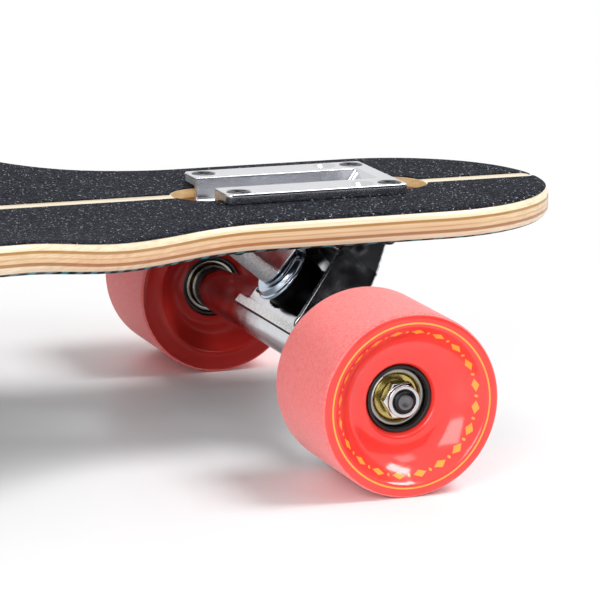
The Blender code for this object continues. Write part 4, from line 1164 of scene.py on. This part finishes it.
def hanger():
    half = HANGER_WIDTH / 2
    tube = along_y(rod(TUBE_RADIUS, (-half, half), 64))
    rib = bar((RIB_START, RIB_START + RIB_WIDTH), (-RIB_HALF_LENGTH, RIB_HALF_LENGTH),
              (AXLE_RADIUS + 0.0015, TUBE_RADIUS + RIB_HEIGHT))
    collars = along_y(rod(COLLAR_RADIUS, (-half - COLLAR_REACH, half + COLLAR_REACH)))
    bore = along_y(rod(AXLE_RADIUS + 0.0002, (-0.12, 0.12), 32))
    solid = joined(tube, wings(), yoke(), pivot_stem(), rib, collars)
    return cast("hanger", cut(solid, *tray_tools(), bore))


def on_rib(face):
    along, across, up = face.center
    return (up > TUBE_RADIUS + 0.0005 and along < RIB_START + RIB_WIDTH
            and abs(across) < RIB_HALF_LENGTH + 0.0005)


def in_the_dark(face):
    """True where painted shade and dark reflection go: the tray beyond the kingpin, the flat
    top of its rim, the slope behind it, and the two sides of the rib."""
    along, across, up = face.center
    near = 0.0006
    if RIB_START - near < along < RIB_START + RIB_WIDTH + near:
        return TUBE_RADIUS < up and abs(face.normal.x) > 0.6 and abs(across) < RIB_HALF_LENGTH
    if up < RING_HALF_THICKNESS - near or abs(across) > YOKE_HALF_WIDTH + 0.001:
        return False
    if along > YOKE_SHOULDER - YOKE_WALL + near:
        return face.normal.z > 0.80
    in_tray = (along > KINGPIN_FROM_AXLE and up < YOKE_TOP - near
               and abs(across) < YOKE_SHOULDER_HALF_WIDTH + 0.001)
    on_rim = along > YOKE_FRONT + LIP_WIDTH and face.normal.z > 0.93 and up > YOKE_TOP - near
    return in_tray or on_rim


hanger_mesh = painted(hanger(), polished, rib_skin_painted_light, hanger_painted_shade)
print("Casting skin on", mark(hanger_mesh, on_rib), "faces")
# The third finish is painted shade and dark reflection, on the faces that in_the_dark picks.
print("Dark skin on", mark(hanger_mesh, in_the_dark, 2), "faces")
fit_both("hanger", hanger_mesh, PIVOT_FRAME, True)

# %% [markdown]
# ## Steel, zinc and black oxide
#
# The fasteners are steel under three coats: bright chrome on the nuts and axle, zinc with its
# faint blue cast on the washers, and black oxide on the deck screws. Each one is a metal with
# its own colour and haze, and a little noise keeps the highlights from looking drawn. The
# lock nuts' rings and the wheels' cores are black nylon, with a cloudy sheen.

# %% Fastener finishes
chrome = polished_metal("bright_steel", (0.64, 0.64, 0.65), 0.08, 0.20, 0.00001)
plain_steel = polished_metal("plain_steel", (0.17, 0.17, 0.175), 0.30, 0.46, 0.00004)
zinc = polished_metal("zinc_plate", (0.50, 0.58, 0.68), 0.10, 0.22, 0.00002)
black_oxide = polished_metal("black_oxide", (0.030, 0.030, 0.034), 0.28, 0.44, 0.00003)
print("Fastener finishes:", chrome.name, plain_steel.name, zinc.name, black_oxide.name)

# %% Nylon finishes
nylon_ring = finish("nylon_ring", (0.012, 0.012, 0.014), 0.38)
tree = nylon_ring.node_tree
wire(nylon_ring, Roughness=varied(tree, noise(tree, 900.0), 0.28, 0.48))
core_black = finish("core_nylon", (0.004, 0.004, 0.0045), 0.35)
tree = core_black.node_tree
matt = noise(tree, 800.0)
wire(core_black, Roughness=varied(tree, matt, 0.26, 0.46), Normal=bumped(tree, matt, 0.00003))
print("Nylon finishes:", nylon_ring.name, core_black.name)

# %% [markdown]
# ## Threads and nuts
#
# A thread is a spiral, but on a bolt this small a stack of rings looks the same, and it can
# be spun in one go. A nut is a six-sided bar whose corners are trimmed by a cone, which gives
# the curved facets that real nuts have. A lock nut also has a round collar that grips a nylon
# ring, and the ring is a finish of its own.

# %% Threads
PITCH, THREAD_DEPTH = 0.0011, 0.00055


def thread(start, end, radius, pitch=PITCH, depth=THREAD_DEPTH):
    """(radius, z) points that zigzag from start to end."""
    count = max(1, round(abs(end - start) / pitch))
    step = (end - start) / count
    points = []
    for turn in range(count):
        points.append((radius, start + step * turn))
        points.append((radius - depth, start + step * (turn + 0.5)))
    return points + [(radius, end)]


print("A 10 mm thread has", len(thread(0, 0.010, 0.004)), "points")

# %% Several parts in one mesh


def merged(name, parts):
    """Lay several meshes into one, each with its finish."""
    bm = bmesh.new()
    finishes = []
    for mesh, material in parts:
        if material not in finishes:
            finishes.append(material)
        before = len(bm.faces)
        bm.from_mesh(mesh)
        bm.faces.ensure_lookup_table()
        for face in bm.faces[before:]:
            face.material_index = finishes.index(material)
    made = bpy.data.meshes.new(name)
    bm.to_mesh(made)
    bm.free()
    made.shade_smooth()
    made.set_sharp_from_angle(angle=SHARP_ANGLE)
    return painted(made, *finishes)


pair = merged("pair", [(rod(0.01, (0, 1)), chrome), (rod(0.02, (0, 1)), nylon_ring)])
print("Two rods in one mesh have", len(pair.materials), "finishes")

# %% Nuts
NUT_CHAMFER, CHAMFER_SLOPE = 0.0009, 0.6
COLLAR_SHARE, COLLAR_WIDTH_SHARE = 0.34, 0.975
NUT_GAP = 0.0004


def nut_blank(flats, low, high, bore):
    """A six-sided nut with trimmed corners and a bore."""
    corner = flats / 2 / math.cos(math.pi / 6)
    inner, outer, drop = corner - NUT_CHAMFER, corner + 0.0001, NUT_CHAMFER * CHAMFER_SLOPE
    cone = turned("cone", [(0, low), (inner, low), (outer, low + drop), (outer, high - drop),
                           (inner, high), (0, high)], 48)
    body = combine(pushed_up("nut", hexagon(corner), low, high - low), cone, "INTERSECT")
    return cut(body, rod(bore, (low - 0.01, high + 0.01), 32))


def lock_nut(name, flats, low, high, bore, metal, extra=()):
    """A nut with a collar and a nylon ring at its high end."""
    edge = high - (high - low) * COLLAR_SHARE
    radius = flats / 2 * COLLAR_WIDTH_SHARE
    inner, start, lip = bore + NUT_GAP, edge - 0.0002, high - 0.0005
    collar = soft_ring("collar", [(inner, start), (radius, start), (radius, high),
                                  (bore + 0.0006, high), (bore + 0.0006, lip), (inner, lip)],
                       0.0004, 48)
    nylon = soft_ring("nylon", [(bore, edge), (bore + 0.0005, edge), (bore + 0.0005, high - 0.0001),
                                (bore, high - 0.0002)], 0.0002, 48)
    parts = [(nut_blank(flats, low, edge, inner), metal), (collar, metal), (nylon, nylon_ring)]
    return merged(name, [*parts, *extra])


print("A nut's corners are cut back by", NUT_CHAMFER * 1000, "mm")

# %% [markdown]
# ## The kingpin and its stack
#
# From the deck down: the kingpin's head sits in the baseplate, a cup washer lies under the
# boss, then come a barrel bushing, the hanger's ring, a cone bushing, a flat washer and the
# nut. Heights run along the kingpin from the ring's middle. The cup washer is the bright
# blue-white disc that shows between the boss and the black bushing.

# %% Kingpin and nut
KINGPIN_NUT_TOP, KINGPIN_END = -0.0198, -0.0305
KINGPIN_NUT_FLATS, KINGPIN_NUT_HEIGHT = 0.0143, 0.0082
KINGPIN_HEAD_HEIGHT, KINGPIN_HEAD_RADIUS = 0.0053, 0.0064
SOCKET_RADIUS, SOCKET_DEPTH = 0.0036, 0.0030


def kingpin():
    seat, top = KINGPIN_HEAD_SEAT + 0.0003, KINGPIN_HEAD_SEAT + KINGPIN_HEAD_HEIGHT
    r = KINGPIN_RADIUS
    outline = [(0, KINGPIN_END), (r - 0.0009, KINGPIN_END)]
    outline += thread(KINGPIN_END + 0.0008, KINGPIN_NUT_TOP + 0.001, r)
    outline += [(r, seat), (KINGPIN_HEAD_RADIUS, seat), (KINGPIN_HEAD_RADIUS, top - 0.0008),
                (KINGPIN_HEAD_RADIUS - 0.0008, top), (0, top)]
    socket = pushed_up("socket", hexagon(SOCKET_RADIUS), top - SOCKET_DEPTH, 0.005)
    return cut(turned("kingpin", outline, 48), socket)


fit_both("kingpin", painted(kingpin(), plain_steel), KINGPIN_FRAME, False)
kingpin_nut = lock_nut("kingpin_nut", KINGPIN_NUT_FLATS, 0.0, KINGPIN_NUT_HEIGHT,
                       KINGPIN_RADIUS + 0.0001, chrome)
fit_both("kingpin_nut", moved(kingpin_nut, shift(z=KINGPIN_NUT_TOP) @ UPSIDE_DOWN),
         KINGPIN_FRAME, False)

# %% Washers
HOLE_RADIUS = 0.00506
ROAD_WASHER = rectangle(HOLE_RADIUS, 0.0105, -0.0195, -0.0177)


def cup_washer():
    """A domed washer with a rolled lip that holds the bushing."""
    top, floor, rim = 0.0209, 0.0189, 0.0165
    outline = [(HOLE_RADIUS, floor), (0.0116, floor), (0.0118, rim), (0.0130, rim),
               (0.0131, 0.0177), (0.0121, 0.0182), (0.0120, 0.0188), (0.0113, 0.0203),
               (0.0098, top), (HOLE_RADIUS, top)]
    return soft_ring("cup_washer", outline, 0.0006, 128, 4)


for part, mesh in (("cup_washer", cup_washer()),
                   ("road_washer", soft_ring("road_washer", ROAD_WASHER, 0.0004, 64))):
    fit_both(part, painted(mesh, zinc), KINGPIN_FRAME, False)

# %% [markdown]
# ## Bushings
#
# The bushings are cast urethane, black and a little glossy. They bulge where the nut squeezes
# them. When the truck turns, their outer ends stay and their inner ends tilt with the hanger;
# here each copy is only placed, as it stands. Noise in the roughness gives a cloudy sheen.

# %% Bushing finish and shapes
BOARD_END, BOARD_RING_END = 0.0186, 0.0048
ROAD_END, ROAD_RING_END = -0.0174, -0.0048
BARREL = [(HOLE_RADIUS, BOARD_RING_END), (0.0108, BOARD_RING_END), (0.0114, 0.0080),
          (0.0119, 0.0117), (0.0114, 0.0154), (0.0108, BOARD_END), (HOLE_RADIUS, BOARD_END)]
CONE = [(HOLE_RADIUS, ROAD_END), (0.0094, ROAD_END), (0.0116, -0.0090),
        (0.0116, ROAD_RING_END), (HOLE_RADIUS, ROAD_RING_END)]

black_urethane = finish("black_urethane", (0.0015, 0.0015, 0.0017), 0.40,
                        Specular_IOR_Level=0.05)
tree = black_urethane.node_tree
wire(black_urethane, Roughness=varied(tree, noise(tree, 240.0, 4.0), 0.32, 0.50),
     Normal=bumped(tree, noise(tree, 700.0), 0.00002))


def fit_bushing(part, outline, soft):
    """Place a copy of the bushing on each truck, with its place baked into the mesh."""
    mesh = painted(soft_ring(part, outline, soft, 80, 4), black_urethane)
    for end, truck in ENDS.items():
        place = truck @ KINGPIN_FRAME
        piece = placed(f"{end}_{part}_piece", mesh.copy())
        piece.matrix_world = place
        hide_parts(f"{end}_{part}")
        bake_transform(piece)
    print(part, "has", len(mesh.polygons), "faces")


fit_bushing("board_bushing", BARREL, 0.0012)
fit_bushing("road_bushing", CONE, 0.0010)

# %% [markdown]
# ## The axle
#
# The axle runs through the hanger and ends in threads outside the wheels. Its ends are turned
# flat with a small chamfer. The threads and the chamfer are darker than the bright ends.

# %% Axle
AXLE_HALF, AXLE_PLAIN_HALF = 0.1238, 0.1110
AXLE_PITCH, AXLE_THREAD_DEPTH, AXLE_CHAMFER = 0.00106, 0.0005, 0.0011


def axle():
    half = [(0, AXLE_HALF - 0.0004), (0.0012, AXLE_HALF - 0.0002), (0.0016, AXLE_HALF),
            (AXLE_RADIUS - AXLE_CHAMFER, AXLE_HALF)]
    half += thread(AXLE_HALF - 0.0007, AXLE_PLAIN_HALF, AXLE_RADIUS, AXLE_PITCH,
                   AXLE_THREAD_DEPTH)
    return along_y(turned("axle", both_sides(half), 40))


def from_axle(face):
    return math.hypot(face.center.x, face.center.z)


def on_thread(face):
    return abs(face.center.y) > AXLE_PLAIN_HALF and from_axle(face) > AXLE_RADIUS - AXLE_CHAMFER


axle_mesh = painted(axle(), plain_steel, black_oxide)
print("Dark threads on", mark(axle_mesh, on_thread), "faces")
fit_both("axle", axle_mesh, PIVOT_FRAME, True)

# %% [markdown]
# ## Wheels
#
# A wheel is soft cast urethane on a black core. Its tread is ground, so it is dull and paler,
# with a fine texture; its faces come straight from the mould and shine. Both faces are dished
# down to the core. The profile is one closed outline, spun about the axle. A thin printed
# ring runs near the rim, and inside it a plain border of lozenges and dots. The face towards
# the truck gets little light, so its red is painted deeper, a painted shade, and it shines less.

# %% Wheel profile
WHEEL_RADIUS, WHEEL_INNER_Y, WHEEL_OUTER_Y = 0.0350, 0.0790, 0.1298
HUB_RADIUS = 0.0128
INNER_RIM, OUTER_RIM, INNER_ROUND = 0.0085, 0.0046, 0.0060
INNER_FLOOR_Y, OUTER_FLOOR_Y = 0.0905, 0.1193
RIM_TURN, FLOOR_TURN, BOWL_STEPS = 0.09, 0.38, 22
WHEEL_STEPS = 144


def bowl(rim_radius, floor_radius, rim_y, floor_y):
    """A slope that turns tightly at the rim and widely at the floor."""
    span = rim_radius - floor_radius
    knots = [Vector((rim_radius, rim_y)), Vector((rim_radius - RIM_TURN * span, rim_y)),
             Vector((rim_radius - FLOOR_TURN * span, floor_y)), Vector((floor_radius, floor_y))]
    points = []
    for step in range(BOWL_STEPS + 1):
        share = step / BOWL_STEPS
        rest = 1 - share
        points.append(knots[0] * rest ** 3 + knots[1] * 3 * rest * rest * share
                      + knots[2] * 3 * rest * share * share + knots[3] * share ** 3)
    return points


def wheel():
    bore, r = HUB_RADIUS + 0.0002, WHEEL_RADIUS
    out, inn = WHEEL_OUTER_Y, WHEEL_INNER_Y
    inner_bowl = bowl(r - INNER_RIM, bore + 0.0030, inn, INNER_FLOOR_Y)[::-1]
    tread = softened([(r - INNER_ROUND, inn), (r, inn), (r, out), (r - OUTER_RIM, out)], 0.0025,
                     closed=False, steps=7)
    outer_bowl = bowl(r - OUTER_RIM, bore + 0.0024, out, OUTER_FLOOR_Y)[1:]
    lip = softened([(bore + 0.0022, OUTER_FLOOR_Y), (bore + 0.0010, 0.1190),
                    (bore + 0.0002, 0.1176), (bore, 0.1170)], 0.0007, closed=False)
    outline = [(bore, 0.0896), (bore + 0.0012, 0.0902)] + inner_bowl + tread + outer_bowl + lip
    return along_y(turned("wheel", outline, WHEEL_STEPS, closed=True))


print("The wheel is", round((WHEEL_OUTER_Y - WHEEL_INNER_Y) * 1000, 1), "mm wide")

# %% The printed border
RING_RADIUS, RING_WIDTH = 0.03125, 0.00062
BORDER_RADIUS, BORDER_COUNT = 0.0273, 20
LOZENGE_HEIGHT, LOZENGE_WIDTH, LOZENGE_PLACE = 0.0021, 0.0052, 0.4
DOT_RADIUS, DOT_PLACE = 0.00050, 0.9
PRINT_FACE_Y = 0.11


def inside(tree, value, limit, blur):
    """1 where a value is under a limit, with a soft edge."""
    return spread(tree, value, limit * (1 - blur), limit * (1 + blur), 1.0, 0.0)


def wheel_print(tree):
    """The printed ring and the border of lozenges and dots."""
    x, y, z = own_axes(tree)
    radius = hypotenuse(tree, x, z)
    turn = maths(tree, "DIVIDE", maths(tree, "ARCTAN2", z, x), math.tau)
    turn = maths(tree, "FRACT", maths(tree, "MULTIPLY", maths(tree, "ADD", turn, 1.0),
                                      float(BORDER_COUNT)))
    step = math.tau * BORDER_RADIUS / BORDER_COUNT
    up = distance_from(tree, radius, BORDER_RADIUS)
    aside, off = (maths(tree, "MULTIPLY", distance_from(tree, turn, place), step)
                  for place in (LOZENGE_PLACE, DOT_PLACE))
    slope = maths(tree, "ADD", maths(tree, "MULTIPLY", up, 2 / LOZENGE_HEIGHT),
                  maths(tree, "MULTIPLY", aside, 2 / LOZENGE_WIDTH))
    ring = inside(tree, distance_from(tree, radius, RING_RADIUS), RING_WIDTH / 2, 0.15)
    lozenge = inside(tree, slope, 1.0, 0.06)
    dot = inside(tree, hypotenuse(tree, off, up), DOT_RADIUS, 0.1)
    marks = maths(tree, "MAXIMUM", ring, maths(tree, "MAXIMUM", lozenge, dot))
    return maths(tree, "MULTIPLY", marks, maths(tree, "GREATER_THAN", y, PRINT_FACE_Y))


print("The border has", BORDER_COUNT, "lozenges and as many dots")

# %% Urethane finishes
WHEEL_MIDDLE_Y = 0.098
PRINT_YELLOW, SHADE_PAINTED_RED, SHADE_PAINTED_SHARE = (1.0, 0.42, 0.055), (0.18, 0.004, 0.003), 0.68
TREAD_REDS = (1.0, 0.122, 0.116), (1.0, 0.262, 0.256)
TREAD_EDGE = 0.0009
SOFT_LIGHT = {"Subsurface_Weight": 0.25, "Subsurface_Scale": 0.004,
              "Subsurface_Radius": (1.0, 0.25, 0.2)}

face_red = finish("urethane_face", (0.96, 0.045, 0.034), 0.15, Coat_Weight=0.25,
                  Coat_Roughness=0.04, **SOFT_LIGHT)
tree = face_red.node_tree
cloud = noise(tree, 55.0, 2.0)
red = blended(tree, varied(tree, cloud), (0.96, 0.062, 0.050), (0.94, 0.050, 0.040))
# Painted shade: the face towards the truck is painted a deeper red, with less coat and specular.
shaded_inner_half = maths(tree, "LESS_THAN", own_axes(tree)[1], WHEEL_MIDDLE_Y)
red = blended(tree, maths(tree, "MULTIPLY", shaded_inner_half, SHADE_PAINTED_SHARE), red, SHADE_PAINTED_RED)
wire(face_red, Base_Color=blended(tree, wheel_print(tree), red, PRINT_YELLOW),
     Coat_Weight=spread(tree, shaded_inner_half, 0.0, 1.0, 0.25, 0.05),
     Specular_IOR_Level=spread(tree, shaded_inner_half, 0.0, 1.0, 0.5, 0.2),
     Roughness=varied(tree, noise(tree, 420.0, 4.0), 0.10, 0.20),
     Normal=bumped(tree, cloud, 0.00003))

tread_red = finish("urethane_tread", (0.96, 0.16, 0.15), 0.6, Sheen_Weight=0.25,
                   Sheen_Roughness=0.5, **SOFT_LIGHT)
tree = tread_red.node_tree
nap = noise(tree, 900.0, 5.0, 0.75)
bands = noise(tree, (20, 900, 20), 2.0)
wire(tread_red, Base_Color=blended(tree, spread(tree, nap, 0.38, 0.62), *TREAD_REDS),
     Roughness=varied(tree, nap, 0.5, 0.72),
     Normal=bumped(tree, maths(tree, "MULTIPLY_ADD", bands, 0.5, nap), 0.00012, 0.6))


def on_tread(face):
    return from_axle(face) > WHEEL_RADIUS - TREAD_EDGE and abs(face.normal.y) < 0.75


wheel_mesh = painted(wheel(), face_red, tread_red)
print("Tread on", mark(wheel_mesh, on_tread), "of", len(wheel_mesh.polygons), "faces")

# %% [markdown]
# ## Cores, bearings and nuts
#
# The core is moulded black nylon. The bearings sit in it, a little sunk: two bright steel
# rings, their colour painted darker as shade, with a gold-coloured shield between them, and
# the inner ring runs on inside the wheel as half of the spacer. Outside, a lock nut with its
# black nylon ring closes the stack.

# %% Core
INNER_FACE_Y, OUTER_FACE_Y = 0.09105, 0.11505
BEARING_WIDTH, BEARING_GAP = 0.0070, 0.0003
CORE_BORE, CORE_WALL, CORE_RIM = 0.0113, 0.0030, 0.0027


def core():
    start, end = INNER_FACE_Y - 0.0006, OUTER_FACE_Y + CORE_RIM
    low = INNER_FACE_Y + BEARING_WIDTH + BEARING_GAP
    high = OUTER_FACE_Y - BEARING_WIDTH - BEARING_GAP
    bore, wall = CORE_BORE, CORE_BORE - CORE_WALL
    outline = [(bore, start), (HUB_RADIUS, start), (HUB_RADIUS, end), (bore + 0.0004, end),
               (bore, end - 0.0004), (bore, high), (wall, high), (wall, low), (bore, low)]
    return along_y(soft_ring("core", outline, 0.0004, 64))


core_mesh = painted(core(), core_black)
print("The core has", len(core_mesh.polygons), "faces")

# %% Bearings
SLEEVE_RADIUS, INNER_SLEEVE_END, OUTER_SLEEVE_END = 0.0043, 0.10290, 0.10320
# The rings' steel is painted a dark, warm grey: painted shade and dark reflection.
shaded_ring_steel = polished_metal("bearing_steel_painted_shade", (0.34, 0.325, 0.29), 0.14, 0.26, 0.00001)
shield_gold = polished_metal("bearing_shield", (0.52, 0.42, 0.14), 0.16, 0.30, 0.00002)


def bearing(face, back, sleeve_end):
    """Two rings and the shield between them, which is sunk a little below their faces."""
    into = math.copysign(1.0, back - face)
    inner = [(SLEEVE_RADIUS, face), (0.0059, face), (0.0059, back), (0.0057, sleeve_end),
             (SLEEVE_RADIUS, sleeve_end)]
    shield = [(0.0058, face + into * 0.0016), (0.0066, face + into * 0.0012),
              (0.0086, face + into * 0.0013), (0.0093, face + into * 0.0004),
              (0.0096, face + into * 0.0004), (0.0096, back), (0.0058, back)]
    outer = soft_ring("ring", rectangle(0.0094, 0.0110, face, back), 0.0004, 72)
    return along_y(merged("bearing", [(outer, shaded_ring_steel),
                                      (soft_ring("ring", inner, 0.0003, 48), shaded_ring_steel),
                                      (soft_ring("shield", shield, 0.0003, 72), shield_gold)]))


inner_bearing = bearing(INNER_FACE_Y, INNER_FACE_Y + BEARING_WIDTH, INNER_SLEEVE_END)
outer_bearing = bearing(OUTER_FACE_Y, OUTER_FACE_Y - BEARING_WIDTH, OUTER_SLEEVE_END)
print("A bearing has", len(inner_bearing.polygons), "faces")

# %% Axle nut
SPEED_RING_RADIUS, SPEED_RING_WIDTH = 0.0062, 0.0009
AXLE_NUT_FLATS, AXLE_NUT_END = 0.0127, 0.0071


def axle_nut():
    """The lock nut, and the thin speed ring between it and the bearing."""
    start = OUTER_FACE_Y + 0.0003
    nut_start = start + SPEED_RING_WIDTH
    outline = rectangle(SLEEVE_RADIUS, SPEED_RING_RADIUS, start, nut_start)
    speed_ring = soft_ring("speed_ring", outline, 0.0002, 48)
    return along_y(lock_nut("axle_nut", AXLE_NUT_FLATS, nut_start, start + AXLE_NUT_END,
                            AXLE_RADIUS + 0.0001, chrome, extra=[(speed_ring, chrome)]))


nut_mesh = axle_nut()
print("An axle nut has", len(nut_mesh.polygons), "faces")

# %% Put the wheels on
WHEEL_PARTS = [("hub", core_mesh, "black_nylon"), ("wheel", wheel_mesh, "urethane"),
               ("inner_bearing", inner_bearing, "bearing"),
               ("outer_bearing", outer_bearing, "bearing")]
for end, truck in ENDS.items():
    for side in ("left", "right"):
        flip = AS_BUILT if (side == "left") == (end == "front") else HALF_TURN
        place = truck @ shift(z=AXLE_Z) @ flip
        corner = f"{end}_{side}"
        for part, mesh, slot in WHEEL_PARTS:
            fit(f"{corner}_{part}_piece", mesh, place, corner + "_wheel", f"{corner}_{part}")
        fit(f"{corner}_axle_nut_piece", nut_mesh, place, end + "_hanger", corner + "_axle_nut")
print("Wheels on both trucks")

# %% [markdown]
# ## Deck screws
#
# Four countersunk screws hold each truck, with lock nuts under the deck. Their heads are
# seen from above, so they get the crossed recess that a screwdriver fits.

# %% Screws and lock nuts
SCREW_RADIUS, SCREW_HEAD_RADIUS, SCREW_LENGTH, SCREW_THREAD = 0.0024, 0.0048, 0.0250, 0.0130
SCREW_PITCH, SCREW_THREAD_DEPTH = 0.0008, 0.00035
CROSS_HALF_LENGTH, CROSS_HALF_WIDTH, CROSS_DEPTH = 0.0031, 0.00066, 0.0020
CROSS_TURN = 0.4
LOCK_NUT_FLATS, LOCK_NUT_HEIGHT = 0.0095, 0.0048


def deck_screw():
    top = PLATE_TOP_Z - 0.0001
    end = top - SCREW_LENGTH
    outline = [(0, end), (SCREW_RADIUS * 0.7, end)]
    outline += thread(end + 0.0006, end + SCREW_THREAD, SCREW_RADIUS, SCREW_PITCH,
                      SCREW_THREAD_DEPTH)
    outline += [(SCREW_RADIUS, top - 0.0026), (SCREW_HEAD_RADIUS, top - 0.0003),
                (SCREW_HEAD_RADIUS - 0.0002, top), (0, top)]
    solid = turned("deck_screw", outline, 40)
    for turn in (CROSS_TURN, CROSS_TURN + math.pi / 2):
        slot = bar((-CROSS_HALF_LENGTH, CROSS_HALF_LENGTH), (-CROSS_HALF_WIDTH, CROSS_HALF_WIDTH),
                   (top - CROSS_DEPTH, top + 0.001))
        solid = cut(solid, moved(slot, Matrix.Rotation(turn, 4, "Z")))
    point = [(0, top - 0.0022), (0.0012, top + 0.0004), (0, top + 0.0004)]
    return cut(solid, turned("point", point, 16))


screw_mesh = painted(deck_screw(), black_oxide)
under_nut = moved(lock_nut("lock_nut", LOCK_NUT_FLATS, 0.0, LOCK_NUT_HEIGHT,
                           SCREW_RADIUS + 0.0001, black_oxide),
                  shift(z=DECK_BOTTOM_Z - 0.0003) @ UPSIDE_DOWN)
for end, truck in ENDS.items():
    for number, (x, y) in enumerate(SCREW_PLACES, 1):
        for part, mesh in (("deck_screw", screw_mesh), ("lock_nut", under_nut)):
            fit(f"{end}_{part}_{number}_piece", mesh, truck @ shift(x, y), "deck",
                f"{end}_{part}_{number}")
print("Deck screws and lock nuts:", len(SCREW_PLACES) * 2 * len(ENDS))

# %% [markdown]
# ## Pivot cups
#
# A pivot cup is a plain plastic socket, nearly hidden between the baseplate and the hanger.
# The solid from the frame is good enough in shape, so it only gets the nylon finish.

# %% Finish the pivot cups
for end in ENDS:
    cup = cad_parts[end + "_pivot_cup"]
    cup.data.materials.clear()
    cup.data.materials.append(core_black)
print("Pivot cups are black nylon")

# %% [markdown]
# ## Floor and light
#
# The board stands on a pale floor that fades into a white background. Past the floor, the
# camera, mirrors and clear things see white, but the world gives the surfaces much less light
# than that. The key lamp hangs high, in front of the nose. A wide lamp lights the board from
# the left of the picture, a weak one from the front lifts the near faces, and a weak one from
# behind lifts the shadow. Bright metal also needs something dark to show, so a dark card
# stands in front, which only mirrors see.

# %% Floor
FLOOR_HALF, FLOOR_STRETCH = 8.0, (0.35, 1.0, 1.0)
FADE_START, FADE_END = 0.17, 0.38


def flat_sheet(name, half_x, half_y):
    bm = bmesh.new()
    corners = rectangle(-half_x, half_x, -half_y, half_y)
    bm.faces.new([bm.verts.new((x, y, 0)) for x, y in corners])
    return placed(name, keep_mesh(name, bm))


floor = flat_sheet("floor", FLOOR_HALF, FLOOR_HALF)
floor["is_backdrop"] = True
floor_white = finish("floor_white", (0.95, 0.95, 0.96), 0.42, Specular_IOR_Level=0.35)
tree = floor_white.node_tree
away = add_node(tree, "VectorMath", {0: stretched(tree, FLOOR_STRETCH)},
                operation="LENGTH").outputs["Value"]
far = spread(tree, away, FADE_START, FADE_END, kind="SMOOTHSTEP")
rays = add_node(tree, "LightPath", {}).outputs
seen = maths(tree, "MAXIMUM", rays["Is Camera Ray"], rays["Is Glossy Ray"])
white = add_node(tree, "Emission", {"Color": (1.0, 1.0, 1.0, 1.0), "Strength": 1.0}).outputs[0]
shader = tree.nodes["Principled BSDF"].outputs[0]
mixed = add_node(tree, "MixShader", {0: maths(tree, "MULTIPLY", far, seen), 1: shader, 2: white})
tree.links.new(mixed.outputs[0], tree.nodes["Material Output"].inputs["Surface"])
floor.data.materials.append(floor_white)
print("The floor fades to white from", FADE_START, "to", FADE_END, "m")

# %% World
WORLD_LIGHT, WORLD_SEEN = 0.36, 0.97


def make_world():
    world = bpy.data.worlds.new("studio")
    world.use_nodes = True
    tree = world.node_tree
    rays = add_node(tree, "LightPath", {}).outputs
    seen = maths(tree, "MAXIMUM", rays["Is Camera Ray"], rays["Is Transmission Ray"])
    seen = maths(tree, "MAXIMUM", seen, rays["Is Glossy Ray"])
    background = tree.nodes["Background"]
    background.inputs["Color"].default_value = (1.0, 1.0, 1.0, 1.0)
    tree.links.new(spread(tree, seen, 0.0, 1.0, WORLD_LIGHT, WORLD_SEEN),
                   background.inputs["Strength"])
    bpy.context.scene.world = world


make_world()
print("The world's light is", WORLD_LIGHT, "and it is seen as", WORLD_SEEN)

# %% Lamps
LAMP_AIM = (0.35, 0.0, 0.05)
LAMPS = {"key_lamp": ((1.42, -0.38, 1.70), 0.8, 27.5),
         "back_lamp": ((0.10, 1.60, 1.00), 1.0, 3.0),
         "left_lamp": ((-0.90, -1.45, 0.95), 1.2, 24.0),
         "front_lamp": ((1.03, -1.31, 1.35), 0.6, 3.0)}


def aimed(thing, place, aim, front):
    """Stand a thing in its place, with its front axis towards a point."""
    thing.location = place
    thing.rotation_euler = (Vector(aim) - Vector(place)).to_track_quat(front, "Y").to_euler()
    return thing


def lamp(name, place, size, watts):
    data = bpy.data.lights.new(name, "AREA")
    data.energy, data.size = watts, size
    return aimed(placed(name, data), place, LAMP_AIM, "-Z")


lamps = {name: lamp(name, *values) for name, values in LAMPS.items()}
lamps["back_lamp"].visible_glossy = False
print("Lamps:", ", ".join(lamps))

# %% Dark card
CARD_PLACE, CARD_AIM = (1.15, -1.10, 0.32), (0.40, -0.10, 0.06)
CARD_WIDTH, CARD_HEIGHT = 1.7, 0.66


def dark_card():
    """A black card that only mirrors see."""
    card = flat_sheet("dark_card", CARD_WIDTH / 2, CARD_HEIGHT / 2)
    aimed(card, CARD_PLACE, CARD_AIM, "Z")
    card.visible_camera = card.visible_diffuse = False
    card.visible_shadow = card.visible_transmission = False
    card.data.materials.append(finish("card_black", (0.004, 0.004, 0.0045), 0.9,
                                      Specular_IOR_Level=0.1))
    card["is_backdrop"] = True
    return card


bpy.context.scene.view_settings.view_transform = "Standard"
print("The", dark_card().name, "is", CARD_WIDTH, "m wide")

# %% [markdown]
# ## Measure and finish
#
# The finer pieces are meant to stay inside the solids' box. Both boxes are printed, so that
# they can be set side by side.

# %% Write the sizes
dressed_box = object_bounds()
for name, (low, high) in (("plain", plain_box), ("dressed", dressed_box)):
    print(name, [round((b - a) * 1000, 1) for a, b in zip(low, high)])
